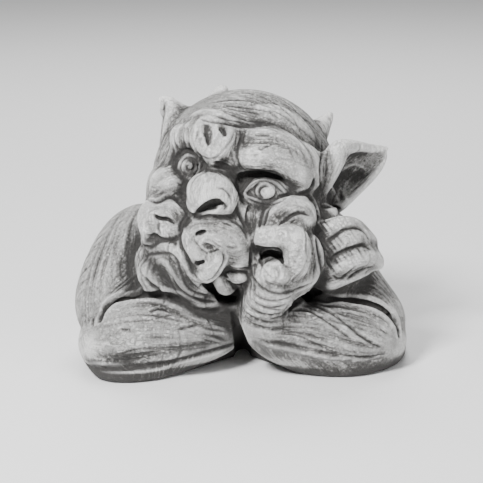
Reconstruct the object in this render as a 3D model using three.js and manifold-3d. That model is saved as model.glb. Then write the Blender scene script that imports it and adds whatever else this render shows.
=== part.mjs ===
// A cast stone garden gargoyle: a horned, big-eared creature down to the elbows, its chin on its fist.
// It is one solid casting with its rough base slab, so it is one mesh.
// Millimetres, +Z up, the face towards -Y, and the origin at the middle of the flat underside.
// "Left" and "right" are as seen from the front.
import * as THREE from "three";
import Module from "manifold-3d";
import { mergeVertices } from "three/addons/utils/BufferGeometryUtils.js";

// Driving dimensions.
const HEAD_CENTRE = [3, 5, 172];
const HEAD_RADIUS = 92;
const SLAB_HEIGHT = 16;
const BODY_CENTRE = [0, 38, 66];
const BODY_RADII = [138, 78, 96];
const FINGER_RADIUS = 10;
const EYE_RADIUS = 13;
const HORN_TIP_RADIUS = 3;
const LIP_FRONT_WIDTHS = [10, 9.5, 9, 8];
const LOWER_LIP_WIDTHS = [5.5, 7, 7.5, 8, 8, 5];

// Vertices nearer than this are one vertex, and the block cut away below the ground is this long.
const WELD = 1e-4;
const GROUND_LENGTH = 600;

// How finely each size of form is faceted: from this radius up, with this many sides and rings.
const FACETS = [
  { radius: 60, sides: 24, rings: 14 },
  { radius: 24, sides: 12, rings: 8 },
  { radius: 0, sides: 7, rings: 5 },
];

const wasm = await Module();
wasm.setup();

function facetsFor(radius) {
  return FACETS.find((row) => radius >= row.radius);
}

// A closed geometry as a solid that can be joined and cut.
function solidOf(geometry) {
  geometry.deleteAttribute("normal");
  geometry.deleteAttribute("uv");
  const welded = mergeVertices(geometry, WELD);
  return new wasm.Manifold(
    new wasm.Mesh({
      numProp: 3,
      vertProperties: new Float32Array(welded.attributes.position.array),
      triVerts: new Uint32Array(welded.index.array),
    }),
  );
}

function joined(solids) {
  return solids.reduce((whole, next) => whole.add(next));
}

// A place on the head, as steps right, back and up from the middle of the skull.
function onHead([right, back, up]) {
  return [HEAD_CENTRE[0] + right, HEAD_CENTRE[1] + back, HEAD_CENTRE[2] + up];
}

// An egg-shaped lump, with its three radii, turned about the front-to-back line.
function ball(centre, radii, turn = 0) {
  const facets = facetsFor(Math.max(...radii));
  const geometry = new THREE.SphereGeometry(1, facets.sides, facets.rings);
  geometry.scale(...radii);
  geometry.rotateY(THREE.MathUtils.degToRad(turn));
  geometry.translate(...centre);
  return solidOf(geometry);
}

// The widths along a limb, blended between the ones given.
function widthAt(widths, share) {
  const place = share * (widths.length - 1);
  const first = Math.min(Math.floor(place), widths.length - 2);
  return THREE.MathUtils.lerp(widths[first], widths[first + 1], place - first);
}

// A round-ended limb along a smooth curve: its middle line, its radius at each point, how square its
// ends are, and how flat it is across the given direction.
function limb(points, widths, { squareness = 3, flat = 1, across = [0, 1, 0] } = {}) {
  const facets = facetsFor(Math.max(...widths));
  const rings = Math.max(facets.rings, 2 * points.length - 2);
  const geometry = new THREE.SphereGeometry(1, facets.sides, rings);
  const middle = new THREE.CatmullRomCurve3(points.map((point) => new THREE.Vector3(...point)));
  const position = geometry.getAttribute("position");
  const seat = new THREE.Vector3();
  for (let i = 0; i < position.count; i++) {
    seat.fromBufferAttribute(position, i);
    const share = Math.acos(THREE.MathUtils.clamp(seat.y, -1, 1)) / Math.PI;
    const around = Math.atan2(seat.z, seat.x);
    const along = middle.getTangent(share);
    const side = new THREE.Vector3(...across).cross(along).normalize();
    const up = new THREE.Vector3().crossVectors(along, side);
    const ending = Math.pow(Math.max(0, 1 - Math.abs(2 * share - 1) ** squareness), 1 / squareness);
    const radius = widthAt(widths, share) * ending;
    seat.copy(middle.getPoint(share));
    seat.addScaledVector(side, radius * Math.cos(around));
    seat.addScaledVector(up, radius * flat * Math.sin(around));
    position.setXYZ(i, seat.x, seat.y, seat.z);
  }
  return solidOf(geometry);
}

// The base slab: two elbow lobes in front with a notch between them, and one round sweep behind.
function baseSlab() {
  const outline = new THREE.Shape();
  outline.moveTo(0, -34);
  outline.bezierCurveTo(-24, -40, -40, -84, -76, -100);
  outline.bezierCurveTo(-108, -114, -136, -106, -150, -62);
  outline.bezierCurveTo(-168, 0, -140, 112, -20, 113);
  outline.bezierCurveTo(110, 122, 164, 50, 163, -8);
  outline.bezierCurveTo(162, -76, 116, -98, 76, -88);
  outline.bezierCurveTo(44, -80, 22, -38, 0, -34);
  return solidOf(new THREE.ExtrudeGeometry(outline, { depth: SLAB_HEIGHT, bevelEnabled: false }));
}

function body() {
  return joined([
    baseSlab(),
    ball(BODY_CENTRE, BODY_RADII),
    ball([8, 34, 140], [88, 64, 66]),
    ball([0, -6, 60], [74, 44, 62]),
    ball([-13, -34, 73], [52, 44, 36]),
  ]);
}

// Each arm is an upper arm down to the elbow and a forearm lying across the front.
function arms() {
  const leftUpper = [[-67, 34, 114], [-93, 20, 104], [-116, -4, 73], [-124, -30, 45], [-126, -48, 24]];
  const leftFore = [[-131, -56, 31], [-105, -68, 37], [-74, -70, 40], [-40, -64, 38], [-3, -44, 32]];
  const rightUpper = [[90, 16, 99], [105, 2, 80], [116, -16, 56], [129, -36, 35], [133, -44, 23]];
  const rightFore = [
    [144, -46, 20], [126, -56, 26], [94, -64, 29], [59, -70, 36], [31, -74, 50], [24, -81, 72],
  ];
  return joined([
    limb(leftUpper, [36, 48, 46, 44, 38]),
    limb(leftFore, [32, 38, 39, 33, 22], { squareness: 4 }),
    limb(rightUpper, [34, 38, 38, 38, 34]),
    limb(rightFore, [27, 33, 37, 33, 28, 24], { squareness: 5 }),
    ball([-120, -58, 26], [40, 46, 34]),
    ball([118, -40, 24], [46, 48, 30]),
  ]);
}

function skull() {
  return joined([
    ball(HEAD_CENTRE, [HEAD_RADIUS, HEAD_RADIUS, HEAD_RADIUS]),
    ball(onHead([-14, -41, 40]), [54, 44, 42]),
    ball(onHead([-18, -39, -15]), [64, 60, 62]),
    ball(onHead([-35, -53, -45]), [60, 52, 42]),
    ball(onHead([-55, -53, -73]), [46, 42, 38]),
    ball(onHead([36, -53, -33]), [42, 46, 46]),
  ]);
}

// The brows, eyes and nose; the head is turned to the left and leans to the right.
function eyesAndNose() {
  const rightBrow = [[7, -85, 48], [21, -89, 44], [37, -87, 36], [50, -79, 25], [59, -67, 13]];
  const leftBrow = [[-39, -71, 67], [-35, -75, 58], [-30, -79, 52], [-21, -79, 58], [-18, -75, 69]];
  const bridge = [[-11, -85, 41], [-18, -95, 31], [-27, -103, 20]];
  return joined([
    limb(rightBrow.map(onHead), [16, 17, 18, 18, 14]),
    limb(leftBrow.map(onHead), [12, 14, 16, 14, 11]),
    ball(onHead([-58, -55, 53]), [12, 14, 15], 10),
    ball(onHead([-52, -67, 28]), [EYE_RADIUS, EYE_RADIUS, EYE_RADIUS]),
    ball(onHead([20, -90, 10]), [EYE_RADIUS, EYE_RADIUS, EYE_RADIUS]),
    limb(bridge.map(onHead), [10, 15, 18]),
    ball(onHead([-33, -102, 14]), [22, 21, 19], 15),
    ball(onHead([-19, -99, 3]), [14, 15, 13], 20),
  ]);
}

// The folded lips, the tusk and the heavy lower lip that sweeps down to the right.
function mouth() {
  const topLip = [[-44, -97, -24], [-31, -100, -18], [-16, -99, -22], [-4, -95, -32]];
  const lipFront = [[-45, -98, -22], [-51, -99, -34], [-49, -99, -48], [-41, -98, -60]];
  const lipSide = [[-31, -97, -24], [-18, -99, -29], [-11, -97, -42], [-8, -93, -54]];
  const tusk = [[-43, -97, -65], [-35, -102, -65], [-29, -105, -58], [-25, -104, -48]];
  const lowerLip = [
    [-98, -77, -49], [-79, -90, -45], [-68, -93, -44], [-56, -94, -54], [-50, -94, -69], [-25, -85, -96],
  ];
  const chinFold = [[-81, -83, -55], [-72, -87, -71], [-60, -88, -89], [-43, -86, -101], [-22, -80, -107]];
  return joined([
    ball(onHead([-68, -85, -10]), [16, 18, 13], -10),
    ball(onHead([-70, -87, -26]), [16, 18, 13], 10),
    ball(onHead([-87, -77, -29]), [13, 17, 16], -20),
    limb(topLip.map(onHead), [11, 12, 13, 12]),
    limb(lipFront.map(onHead), LIP_FRONT_WIDTHS),
    limb(lipSide.map(onHead), [13, 17, 17, 13]),
    limb(tusk.map(onHead), [7.5, 9, 9, 7.5], { squareness: 5 }),
    limb(lowerLip.map(onHead), LOWER_LIP_WIDTHS, { squareness: 5 }),
    limb(chinFold.map(onHead), [10, 11, 9, 7, 5]),
    ball(onHead([-72, -73, -69]), [26, 24, 26], 20),
    ball(onHead([-18, -84, -80]), [16, 24, 15], 20),
  ]);
}

function cheeks() {
  const leftCheek = [[-58, -69, 15], [-73, -67, 7], [-85, -55, -6]];
  const underEye = [
    [24, -95, -25], [30, -99, -13], [43, -96, -8], [56, -89, -10], [61, -83, -22], [61, -79, -36],
  ];
  const besideNose = [[17, -93, -7], [10, -97, -14], [8, -97, -26], [9, -95, -40]];
  return joined([
    limb(leftCheek.map(onHead), [13, 16, 13]),
    limb(underEye.map(onHead), [9, 11, 12, 12, 10, 7]),
    limb(besideNose.map(onHead), [7, 9, 7, 5]),
    ball(onHead([52, -89, -24]), [14, 13, 9], 10),
    ball(onHead([5, -61, -58]), [34, 38, 40]),
  ]);
}

// The fist under the cheek: the wrist rising from the forearm, the bent first finger and the thumb.
function fist() {
  const wrist = [[24, -82, 62], [26, -90, 79], [35, -95, 92], [45, -97, 101]];
  const firstFinger = [[27, -106, 142], [39, -109, 144], [51, -108, 141], [53, -106, 127], [51, -102, 108]];
  const nextFinger = [[63, -92, 138], [67, -92, 121], [70, -89, 106], [63, -88, 93]];
  return joined([
    limb(wrist, [24, 22, 21, 19]),
    limb(firstFinger, [12.5, 13, 14.5, 14.5, 14]),
    limb(nextFinger, [7.5, 8, 7.5, 6]),
    ball([32, -104, 106], [13, 14, 12], 15),
    ball([44, -98, 100], [22, 18, 18]),
    ball([45, -70, 104], [30, 32, 34]),
  ]);
}

// The other hand, gripping the right upper arm: three fingers, each bent over at its last joint.
function grippingHand() {
  const fingers = [
    { root: [[74, -70, 135], [87, -72, 141], [110, -62, 147]], tip: [[120, -52, 136], [128, -37, 113]] },
    { root: [[80, -73, 115], [93, -75, 126], [111, -66, 134]], tip: [[121, -56, 123], [127, -46, 114]] },
    { root: [[84, -73, 95], [96, -76, 107], [114, -69, 115]], tip: [[125, -58, 107], [132, -48, 103]] },
  ];
  const fingerSolids = fingers.map((finger) =>
    limb([...finger.root, ...finger.tip], Array(5).fill(FINGER_RADIUS), { squareness: 5 }),
  );
  return joined([
    ball([84, -52, 104], [20, 28, 33]),
    ball([87, -30, 99], [36, 40, 40]),
    limb([[89, -70, 85], [102, -70, 93], [117, -60, 99]], [10, 10, 8]),
    ...fingerSolids,
  ]);
}

function horns() {
  return joined([
    limb([[-24, 40, 236], [-20, 48, 249], [-16, 54, 259]], [14, 9, HORN_TIP_RADIUS]),
    limb([[70, 18, 210], [81, 26, 224], [91, 30, 237]], [15, 10, HORN_TIP_RADIUS]),
  ]);
}

// The right ear stands out, scooped in front to a rim; the left ear is seen edge on behind the temple.
function ears() {
  const rightLine = [[76, -26, 164], [92, -24, 182], [112, -18, 192], [144, -15, 206]];
  const scoopLine = [[86, -46, 170], [98, -42, 184], [114, -32, 192], [132, -24, 200]];
  const leftLine = [[-69, 6, 182], [-73, 16, 204], [-74, 28, 226], [-80, 47, 250]];
  const right = limb(rightLine, [26, 34, 26, 5], { flat: 0.5, across: [0.2, 1, 0] });
  const scoop = limb(scoopLine, [12, 19, 13, 4], { flat: 0.75, across: [0.2, 1, 0] });
  const left = limb(leftLine, [28, 27, 18, 4], { flat: 0.38, across: [1, 0.35, 0] });
  return right.subtract(scoop).add(left);
}

// Everything is one casting, cut flat underneath.
function casting() {
  const ground = new THREE.BoxGeometry(GROUND_LENGTH, GROUND_LENGTH, GROUND_LENGTH);
  ground.translate(0, 0, -GROUND_LENGTH / 2);
  const whole = joined([
    body(),
    arms(),
    skull(),
    eyesAndNose(),
    mouth(),
    cheeks(),
    fist(),
    grippingHand(),
    horns(),
    ears(),
  ]);
  return whole.subtract(solidOf(ground));
}

// The solid as a geometry, moved so that the origin is at the middle of its underside.
function centredGeometry(solid) {
  const mesh = solid.getMesh();
  const geometry = new THREE.BufferGeometry();
  geometry.setAttribute("position", new THREE.BufferAttribute(mesh.vertProperties, mesh.numProp));
  geometry.setIndex(new THREE.BufferAttribute(mesh.triVerts, 1));
  geometry.computeBoundingBox();
  const middle = geometry.boundingBox.getCenter(new THREE.Vector3());
  geometry.translate(-middle.x, -middle.y, 0);
  geometry.computeVertexNormals();
  return geometry;
}

const castStone = new THREE.MeshStandardMaterial({
  name: "cast_stone",
  color: 0xc6c5c1,
  roughness: 0.92,
  metalness: 0,
});

const gargoyle = new THREE.Mesh(centredGeometry(casting()), castStone);
gargoyle.name = "gargoyle";

const group = new THREE.Group();
group.add(gargoyle);

export default group;
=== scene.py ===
import math
import random

import bmesh
import bpy
import numpy as np
from mathutils import Euler, Matrix, Vector
from mathutils.bvhtree import BVHTree
from mathutils.kdtree import KDTree


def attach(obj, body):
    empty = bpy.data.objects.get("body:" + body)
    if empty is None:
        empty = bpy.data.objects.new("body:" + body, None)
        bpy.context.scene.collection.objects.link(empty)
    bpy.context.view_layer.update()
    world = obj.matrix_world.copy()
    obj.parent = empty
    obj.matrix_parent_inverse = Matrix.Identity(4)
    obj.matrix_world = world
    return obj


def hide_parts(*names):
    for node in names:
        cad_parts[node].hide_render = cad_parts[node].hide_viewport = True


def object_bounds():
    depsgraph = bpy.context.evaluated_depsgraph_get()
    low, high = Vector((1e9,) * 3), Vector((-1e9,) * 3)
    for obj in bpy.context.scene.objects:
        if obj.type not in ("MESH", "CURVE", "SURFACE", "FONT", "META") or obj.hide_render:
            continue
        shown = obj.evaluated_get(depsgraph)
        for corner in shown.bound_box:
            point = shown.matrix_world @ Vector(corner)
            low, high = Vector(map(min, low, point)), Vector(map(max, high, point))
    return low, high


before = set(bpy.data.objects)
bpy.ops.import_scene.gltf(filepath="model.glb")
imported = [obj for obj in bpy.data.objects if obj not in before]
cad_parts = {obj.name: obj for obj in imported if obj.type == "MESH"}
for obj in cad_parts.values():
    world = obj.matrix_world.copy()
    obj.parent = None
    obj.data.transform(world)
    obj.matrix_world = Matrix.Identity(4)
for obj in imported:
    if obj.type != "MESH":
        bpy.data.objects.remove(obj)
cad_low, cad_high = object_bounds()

# The body, arms and skull: the large masses of the clay model that the casting's mould was taken from.
# Each is a lump or a bent roll of clay, and they are pressed together and smoothed into one mass. All
# places are in millimetres from the middle of the underside: right, back and up.
MASS_GRAIN = 3.0
MASS_SMOOTHING = 12
SLAB_TOP = 15
HEAD = Vector((3, 5, 172))
HEAD_RADIUS = 92
LARGE_BALL = 40
LARGE_BALL_CUTS = 5
BALL_CUTS = 4
ROLL_SIDES = 24
ROLL_END_RINGS = 8
ROLL_RINGS = 6
SLAB_STEPS = 6
NUDGE = 0.01
TINY = 1e-6
RUB = 0.5


def smooth_line(points, share):
    """Places along a smooth curve through the points, at shares of its length from 0 to 1."""
    table = np.asarray(points, float)
    last = len(table) - 1
    place = np.clip(np.asarray(share, float), 0, 1) * last
    first = np.minimum(place.astype(int), last - 1)
    step = (place - first)[:, None]
    here, there = table[first], table[first + 1]
    before = np.where((first > 0)[:, None], table[np.maximum(first - 1, 0)], 2 * here - there)
    after = np.where((first < last - 1)[:, None], table[np.minimum(first + 2, last)], 2 * there - here)
    return 0.5 * (
        2 * here
        + (there - before) * step
        + (2 * before - 5 * here + 4 * there - after) * step**2
        + (3 * here - before - 3 * there + after) * step**3
    )


def press_on(clay, lump):
    """Adds one closed lump to the clay, facing outwards."""
    bmesh.ops.recalc_face_normals(lump, faces=lump.faces)
    cast = bpy.data.meshes.new("lump")
    lump.to_mesh(cast)
    lump.free()
    clay.from_mesh(cast)
    bpy.data.meshes.remove(cast)


def ball(clay, at, radii, turn=0, nod=0):
    """An egg of the given radii, turned about its front to back line and nodded forwards."""
    lump = bmesh.new()
    turned = Euler((math.radians(nod), math.radians(turn), 0)).to_matrix().to_4x4()
    shape = Matrix.Translation(at) @ turned @ Matrix.Diagonal((*radii, 1))
    cuts = LARGE_BALL_CUTS if max(radii) > LARGE_BALL else BALL_CUTS
    bmesh.ops.create_icosphere(lump, subdivisions=cuts, radius=1, matrix=shape)
    press_on(clay, lump)


def roll(clay, along, widths, squareness=3.0, flat=1.0, across=(0, 1, 0)):
    """A round-ended roll of clay along a curve, with its radius at each point."""
    lump = bmesh.new()
    rings = ROLL_END_RINGS + ROLL_RINGS * len(along)
    made = bmesh.ops.create_uvsphere(lump, u_segments=ROLL_SIDES, v_segments=rings, radius=1)["verts"]
    seat = np.array([vert.co for vert in made])
    share = np.arccos(np.clip(-seat[:, 2], -1, 1)) / math.pi
    table = np.column_stack([np.array([tuple(point) for point in along]), widths])
    middle = smooth_line(table, share)
    heading = smooth_line(table, share + NUDGE)[:, :3] - smooth_line(table, share - NUDGE)[:, :3]
    heading /= np.linalg.norm(heading, axis=1)[:, None]
    depth = np.array(across, float) - (heading @ np.array(across, float))[:, None] * heading
    depth /= np.maximum(np.linalg.norm(depth, axis=1), TINY)[:, None]
    side = np.cross(heading, depth)
    around = np.arctan2(seat[:, 1], seat[:, 0])
    radius = middle[:, 3] * np.clip(1 - np.abs(2 * share - 1) ** squareness, 0, 1) ** (1 / squareness)
    placed = middle[:, :3] + side * (radius * np.cos(around))[:, None]
    placed += depth * (radius * flat * np.sin(around))[:, None]
    for vert, point in zip(made, placed):
        vert.co = point
    press_on(clay, lump)


def slab(clay, outline, top):
    """A flat slab with a smooth outline, from the bench up."""
    lump = bmesh.new()
    edge = smooth_line(outline + outline[:1], np.linspace(0, 1, SLAB_STEPS * len(outline) + 1)[:-1])
    face = lump.faces.new([lump.verts.new((x, y, 0)) for x, y in edge])
    lifted = bmesh.ops.extrude_face_region(lump, geom=[face])["geom"]
    lifted = [part for part in lifted if isinstance(part, bmesh.types.BMVert)]
    bmesh.ops.translate(lump, verts=lifted, vec=(0, 0, top))
    press_on(clay, lump)


def finished_piece(clay, name):
    """The clay as an object of its own."""
    data = bpy.data.meshes.new(name)
    clay.to_mesh(data)
    clay.free()
    piece = bpy.data.objects.new(name, data)
    bpy.context.scene.collection.objects.link(piece)
    return piece


def apply_modifiers(piece):
    """Fixes the piece's modifiers into its mesh."""
    graph = bpy.context.evaluated_depsgraph_get()
    graph.update()
    fixed = bpy.data.meshes.new_from_object(piece.evaluated_get(graph))
    piece.modifiers.clear()
    spare = piece.data
    piece.data = fixed
    bpy.data.meshes.remove(spare)


def fuse(piece, grain, smoothing):
    """Melts the lumps into one skin of the given grain, and smooths it."""
    melt = piece.modifiers.new("melt", "REMESH")
    melt.mode = "VOXEL"
    melt.voxel_size = grain
    melt.use_smooth_shade = True
    if smoothing:
        rub = piece.modifiers.new("rub", "SMOOTH")
        rub.factor = RUB
        rub.iterations = smoothing
    apply_modifiers(piece)


clay = bmesh.new()
slab(
    clay,
    [
        (-6, -34), (-34, -62), (-60, -90), (-85, -107), (-113, -113), (-138, -102), (-151, -62),
        (-156, 0), (-138, 50), (-95, 92), (-40, 112), (20, 114), (80, 104), (128, 75), (157, 35),
        (166, -10), (156, -56), (126, -87), (94, -96), (62, -87), (32, -60), (8, -32),
    ],
    SLAB_TOP,
)
# The trunk, the shoulders, and the chest in two lumps.
for middle, radii in [
    ((0, 38, 66), (138, 78, 96)),
    ((8, 34, 140), (88, 64, 66)),
    ((0, -6, 60), (74, 44, 62)),
    ((-13, -34, 73), (52, 44, 36)),
]:
    ball(clay, middle, radii)
# The back runs down to the slab all round.
roll(
    clay,
    [(-138, -20, 22), (-136, 28, 24), (-100, 72, 26), (-45, 92, 26), (15, 93, 26), (75, 84, 26),
     (124, 58, 24), (144, 20, 22)],
    [20, 22, 25, 27, 27, 25, 22, 20],
    squareness=6,
)
# Left arm: shoulder to elbow, then the forearm across the front.
roll(
    clay,
    [(-67, 34, 114), (-93, 20, 104), (-116, -4, 73), (-124, -30, 45), (-126, -48, 24)],
    [36, 48, 46, 44, 38],
)
roll(
    clay,
    [(-131, -56, 31), (-105, -68, 37), (-74, -70, 40), (-40, -64, 38), (-3, -44, 32)],
    [32, 38, 39, 33, 22],
    squareness=4,
)
ball(clay, (-120, -58, 26), (40, 46, 34))
# Right arm: shoulder to elbow, then the forearm that turns up into the wrist.
roll(
    clay,
    [(84, 16, 99), (99, 2, 80), (113, -16, 56), (129, -36, 35), (133, -44, 23)],
    [32, 35, 37, 38, 34],
)
roll(
    clay,
    [(144, -46, 20), (126, -56, 26), (94, -64, 29), (59, -70, 34), (31, -74, 46), (25, -80, 66),
     (34, -84, 86)],
    [27, 33, 37, 34, 30, 27, 24],
    squareness=5,
)
ball(clay, (118, -40, 24), (46, 48, 30))
# Skull, forehead, and the beds that the face, the fist and the gripping hand are built up on.
for middle, radii in [
    (HEAD, (HEAD_RADIUS, HEAD_RADIUS, HEAD_RADIUS)),
    ((-11, -36, 212), (54, 44, 42)),
    ((-54, -30, 196), (26, 34, 30)),
    ((-15, -34, 157), (64, 60, 62)),
    ((-22, -62, 182), (26, 28, 28)),
    ((-32, -48, 127), (60, 52, 42)),
    ((-71, -52, 144), (28, 32, 30)),
    ((-58, -47, 99), (47, 42, 38)),
    ((39, -48, 139), (42, 46, 46)),
    ((-69, -40, 173), (24, 30, 30)),
    ((8, -56, 114), (34, 38, 40)),
    ((43, -72, 104), (30, 30, 34)),
    ((89, -30, 99), (36, 40, 40)),
]:
    ball(clay, middle, radii)
gargoyle = finished_piece(clay, "gargoyle_casting")
fuse(gargoyle, MASS_GRAIN, MASS_SMOOTHING)


# The brows, eyes and nose: lumps and rolls of clay pressed on to the face. The head leans on the right
# fist, so the left brow and eye are the higher. They are laid out on a drawing board that leans back
# through the model's middle, x to the right and h up, which the carver looks at squarely from 1.6 m.
LEAN = math.radians(14)
EYE_DISTANCE = 1600
BOARD_MIDDLE = Vector((0, 0, 112))
BOARD_MIDDLE_H = 115.5
BOARD_UP = Vector((0, math.sin(LEAN), math.cos(LEAN)))
EYE = BOARD_MIDDLE + EYE_DISTANCE * Vector((0, -math.cos(LEAN), math.sin(LEAN)))


def sight(x, h):
    """The direction from the eye through a place on the board."""
    place = BOARD_MIDDLE + Vector((x, 0, 0)) + BOARD_UP * (h - BOARD_MIDDLE_H)
    return (place - EYE).normalized()


def reach(x, h, y):
    """The point behind a place on the board that lies y behind the model's middle."""
    line = sight(x, h)
    return EYE + line * ((y - EYE.y) / line.y)


def surface_of(piece):
    """The skin of a piece, for finding where a line of sight meets it."""
    shape = bmesh.new()
    shape.from_mesh(piece.data)
    skin = BVHTree.FromBMesh(shape)
    shape.free()
    return skin


FACE_SKIN = surface_of(gargoyle)


def lay(x, h, out):
    """The point on the face behind a place on the board, raised out of the clay towards the eye."""
    line = sight(x, h)
    touched = FACE_SKIN.ray_cast(EYE, line)[0]
    return touched - line * out


def laid(places):
    """Several places on the face, each as x, h and how far it stands out."""
    return [lay(*place) for place in places]


RING_PLACES = 14


def ring(middle_x, middle_h, radius_x, radius_h, out):
    """Places round an oval on the board."""
    angles = [2 * math.pi * (i / (RING_PLACES - 1)) for i in range(RING_PLACES)]
    return [(middle_x + radius_x * math.cos(a), middle_h + radius_h * math.sin(a), out) for a in angles]


def mound(x, h, out, radii, turn=0):
    """An egg of clay on the face."""
    ball(face, lay(x, h, out), radii, turn)


def coil(places, widths, **shape):
    """A roll of clay laid along places on the face."""
    roll(face, laid(places), widths, **shape)


def strand(places, widths, **shape):
    """A roll of clay through places on the board, each with how far back it lies."""
    roll(face, [reach(*place) for place in places], widths, **shape)


def dig(piece, hollows, grain):
    """Cuts the hollows out of the piece."""
    cutter = finished_piece(hollows, "hollows")
    fuse(cutter, grain, 0)
    cut = piece.modifiers.new("cut", "BOOLEAN")
    cut.operation = "DIFFERENCE"
    cut.solver = "FAST"
    cut.object = cutter
    apply_modifiers(piece)
    bpy.data.objects.remove(cutter)


# The eye sockets and the open mouth are dug out first.
SOCKET_GRAIN = 1.5
sockets = bmesh.new()
ball(sockets, lay(-52, 191, 4), (16, 14, 16))
ball(sockets, lay(22, 172, 2), (27, 16, 17))
ball(sockets, lay(-20, 66, 0), (20, 24, 13), turn=20)
dig(gargoyle, sockets, SOCKET_GRAIN)

face = bmesh.new()
face.from_mesh(gargoyle.data)
# Left brow: a horseshoe lock with a tongue of flesh in its middle, and a lump beside it.
mound(-30, 219, -2, (20, 14, 23))
coil([(-52, 238, -3), (-40, 239, 0), (-26, 237, 2), (-12, 233, 1), (2, 230, -1)], [5, 9, 10, 8, 4])
mound(-11, 212, -3, (12, 9, 16), turn=-20)
mound(-51, 222, -3, (9, 8, 14))
coil([(-43, 236, 3), (-45, 222, 7), (-41, 210, 10), (-31, 204, 12), (-20, 209, 11), (-12, 222, 7),
      (-12, 231, 3)], [5, 6.5, 7.5, 8, 7.5, 6, 5])
coil([(-27, 234, 5), (-26, 222, 10), (-27, 211, 12)], [5, 6.5, 7])
mound(-60, 219, -2, (12, 11, 15), turn=8)
coil([(-62, 229, 1), (-55, 224, 3), (-51, 214, 4)], [5, 5, 5])
# Beds for the left corner of the mouth, the left jowl and the right cheek.
mound(-57, 136, -4, (8, 9, 11))
mound(-80, 116, -6, (22, 10, 7))
mound(10, 132, -3, (7, 9, 24))
# Right brow: one heavy roll that hangs over the eye and droops past its outer corner.
mound(38, 226, -17, (38, 23, 22), turn=28)
mound(36, 205, 0, (38, 17, 21), turn=24)
mound(60, 188, 1, (21, 15, 26))
coil([(-3, 198, 4), (8, 200, 5), (22, 202, 5), (36, 201, 5), (49, 194, 5), (58, 182, 6), (62, 166, 4)],
     [9, 12, 14, 15, 15, 13, 9], squareness=4)
coil([(-6, 236, -2), (-7, 214, 0), (-12, 198, 0)], [5, 6, 7])
# Nose: broad bridge, heavy bulb and two wings.
mound(-20, 194, -3, (16, 9, 12))
coil([(-38, 191, -3), (-26, 191, -1), (-14, 191, -1), (-6, 186, -3)], [5, 6, 6, 5])
mound(-10, 200, -1, (9, 9, 12))
coil([(-16, 178, -1), (-22, 174, 3), (-28, 170, 7), (-33, 167, 9)], [7, 10, 14, 18])
mound(-30, 163.5, 8, (24, 21, 20.5), turn=20)
mound(-16, 157, 8, (12, 13, 15), turn=15)
mound(-45, 154, 6, (9, 13, 12), turn=-15)
coil([(-46, 144, 5), (-36, 143, 7), (-24, 145, 8), (-14, 147, 7)], [4, 4, 4.5, 5])
# Cheek under the left eye.
mound(-74, 172, -6, (18, 14, 18))
mound(-63, 168, -5, (13, 12, 15))
coil([(-58, 176, 0), (-74, 170, 0), (-90, 159, -2)], [9, 12, 10])

# The mouth: folded upper lips, the root of the tusk, and the lower lip and chin, in rolls of clay. The
# lower lip curls over at its left end and sweeps down to the right under the tusk.
mound(-79, 138, -5, (25, 15, 23))
coil([(-88, 147, 0), (-78, 149, 3), (-68, 147, 3), (-60, 139, 2)], [8, 10, 10, 8])
mound(-72, 127, 1, (13, 12, 10))
mound(-92, 130, 0, (11, 12, 12))
mound(-24, 116, 1, (31, 15, 22), turn=12)
mound(-4, 106, 0, (13, 14, 18), turn=-8)
coil([(-50, 127, 4), (-40, 131, 6), (-24, 131, 6), (-9, 126, 5), (0, 116, 3)], [9, 10, 10, 10, 9])
coil([(-52, 130, 4), (-53, 119, 6), (-49, 109, 8), (-43, 102, 9), (-37, 98, 8)], [8, 8, 7.5, 6, 3.5])
coil([(-47, 91, 6), (-43, 85, 9), (-36, 84, 11), (-29, 89, 12), (-23, 97, 12), (-20, 106, 10)],
     [4, 7, 9, 9.5, 8, 4], squareness=6)
mound(-82, 84, -5, (22, 15, 20))
coil([(-101, 103, 2), (-96, 104, 4), (-86, 109, 6), (-74, 110, 6), (-63, 104, 8), (-55, 92, 8),
      (-49, 79, 8), (-40, 69, 7), (-26, 63, 3)], [4.5, 4.5, 5, 5.5, 5.5, 5.5, 5, 4.5, 3.5], squareness=8)
coil([(-94, 86, 2), (-88, 96, 5), (-79, 100, 7), (-71, 94, 8), (-66, 84, 8), (-59, 73, 8), (-48, 63, 7),
      (-36, 57, 5), (-22, 56, 2)], [5, 6, 7, 7, 6.5, 5.5, 5, 4.5, 3.5], squareness=6)
coil([(-92, 78, 1), (-82, 72, 3), (-70, 63, 4), (-58, 54, 5), (-42, 50, 5), (-24, 50, 1)],
     [7, 7.5, 7, 6, 5, 4])

# The folds of the right cheek: an arch of rolled clay for the loose skin that the fist pushes up over
# itself, and two upright folds between it and the nose.
coil([(2, 154, 1), (1, 144, 2), (6, 131, 1), (9, 118, 0)], [6, 6, 5, 4])
coil([(23, 150, 1), (15, 142, 2), (12, 128, 2), (12, 110, 1), (13, 96, 0)], [7, 7, 6, 5, 4])
coil([(27, 134, 3), (32, 146, 5), (45, 152, 6), (58, 151, 6), (67, 145, 4), (70, 130, 2)],
     [8, 9, 9, 9, 8.5, 7])
mound(58, 137, 4, (14, 9, 8), turn=8)

# The fist under the cheek: the bent first finger over the thumb, with a hollow between them. The wrist
# grows out of the right forearm.
strand([(42, 20, -56), (26, 34, -72), (23, 50, -83), (30, 66, -91), (44, 80, -95)],
       [24, 23, 22, 23, 22], squareness=5)
ball(face, reach(44, 82, -88), (33, 22, 20), turn=-8)
strand([(13, 121, -103), (26, 121, -107), (40, 121, -109), (53, 118, -109), (56, 104, -107),
        (54, 84, -102)], [10, 10.5, 11, 13, 13.5, 14], squareness=6)
strand([(64, 121, -93), (71, 110, -93), (74, 96, -91), (70, 84, -88)], [9, 8.5, 8.5, 8])
strand([(17, 74, -94), (27, 82, -101), (38, 84, -103), (56, 82, -98)], [12, 12.5, 13, 13], squareness=4)
strand([(14, 112, -90), (14, 102, -92), (16, 88, -92)], [5, 5, 6])

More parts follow.
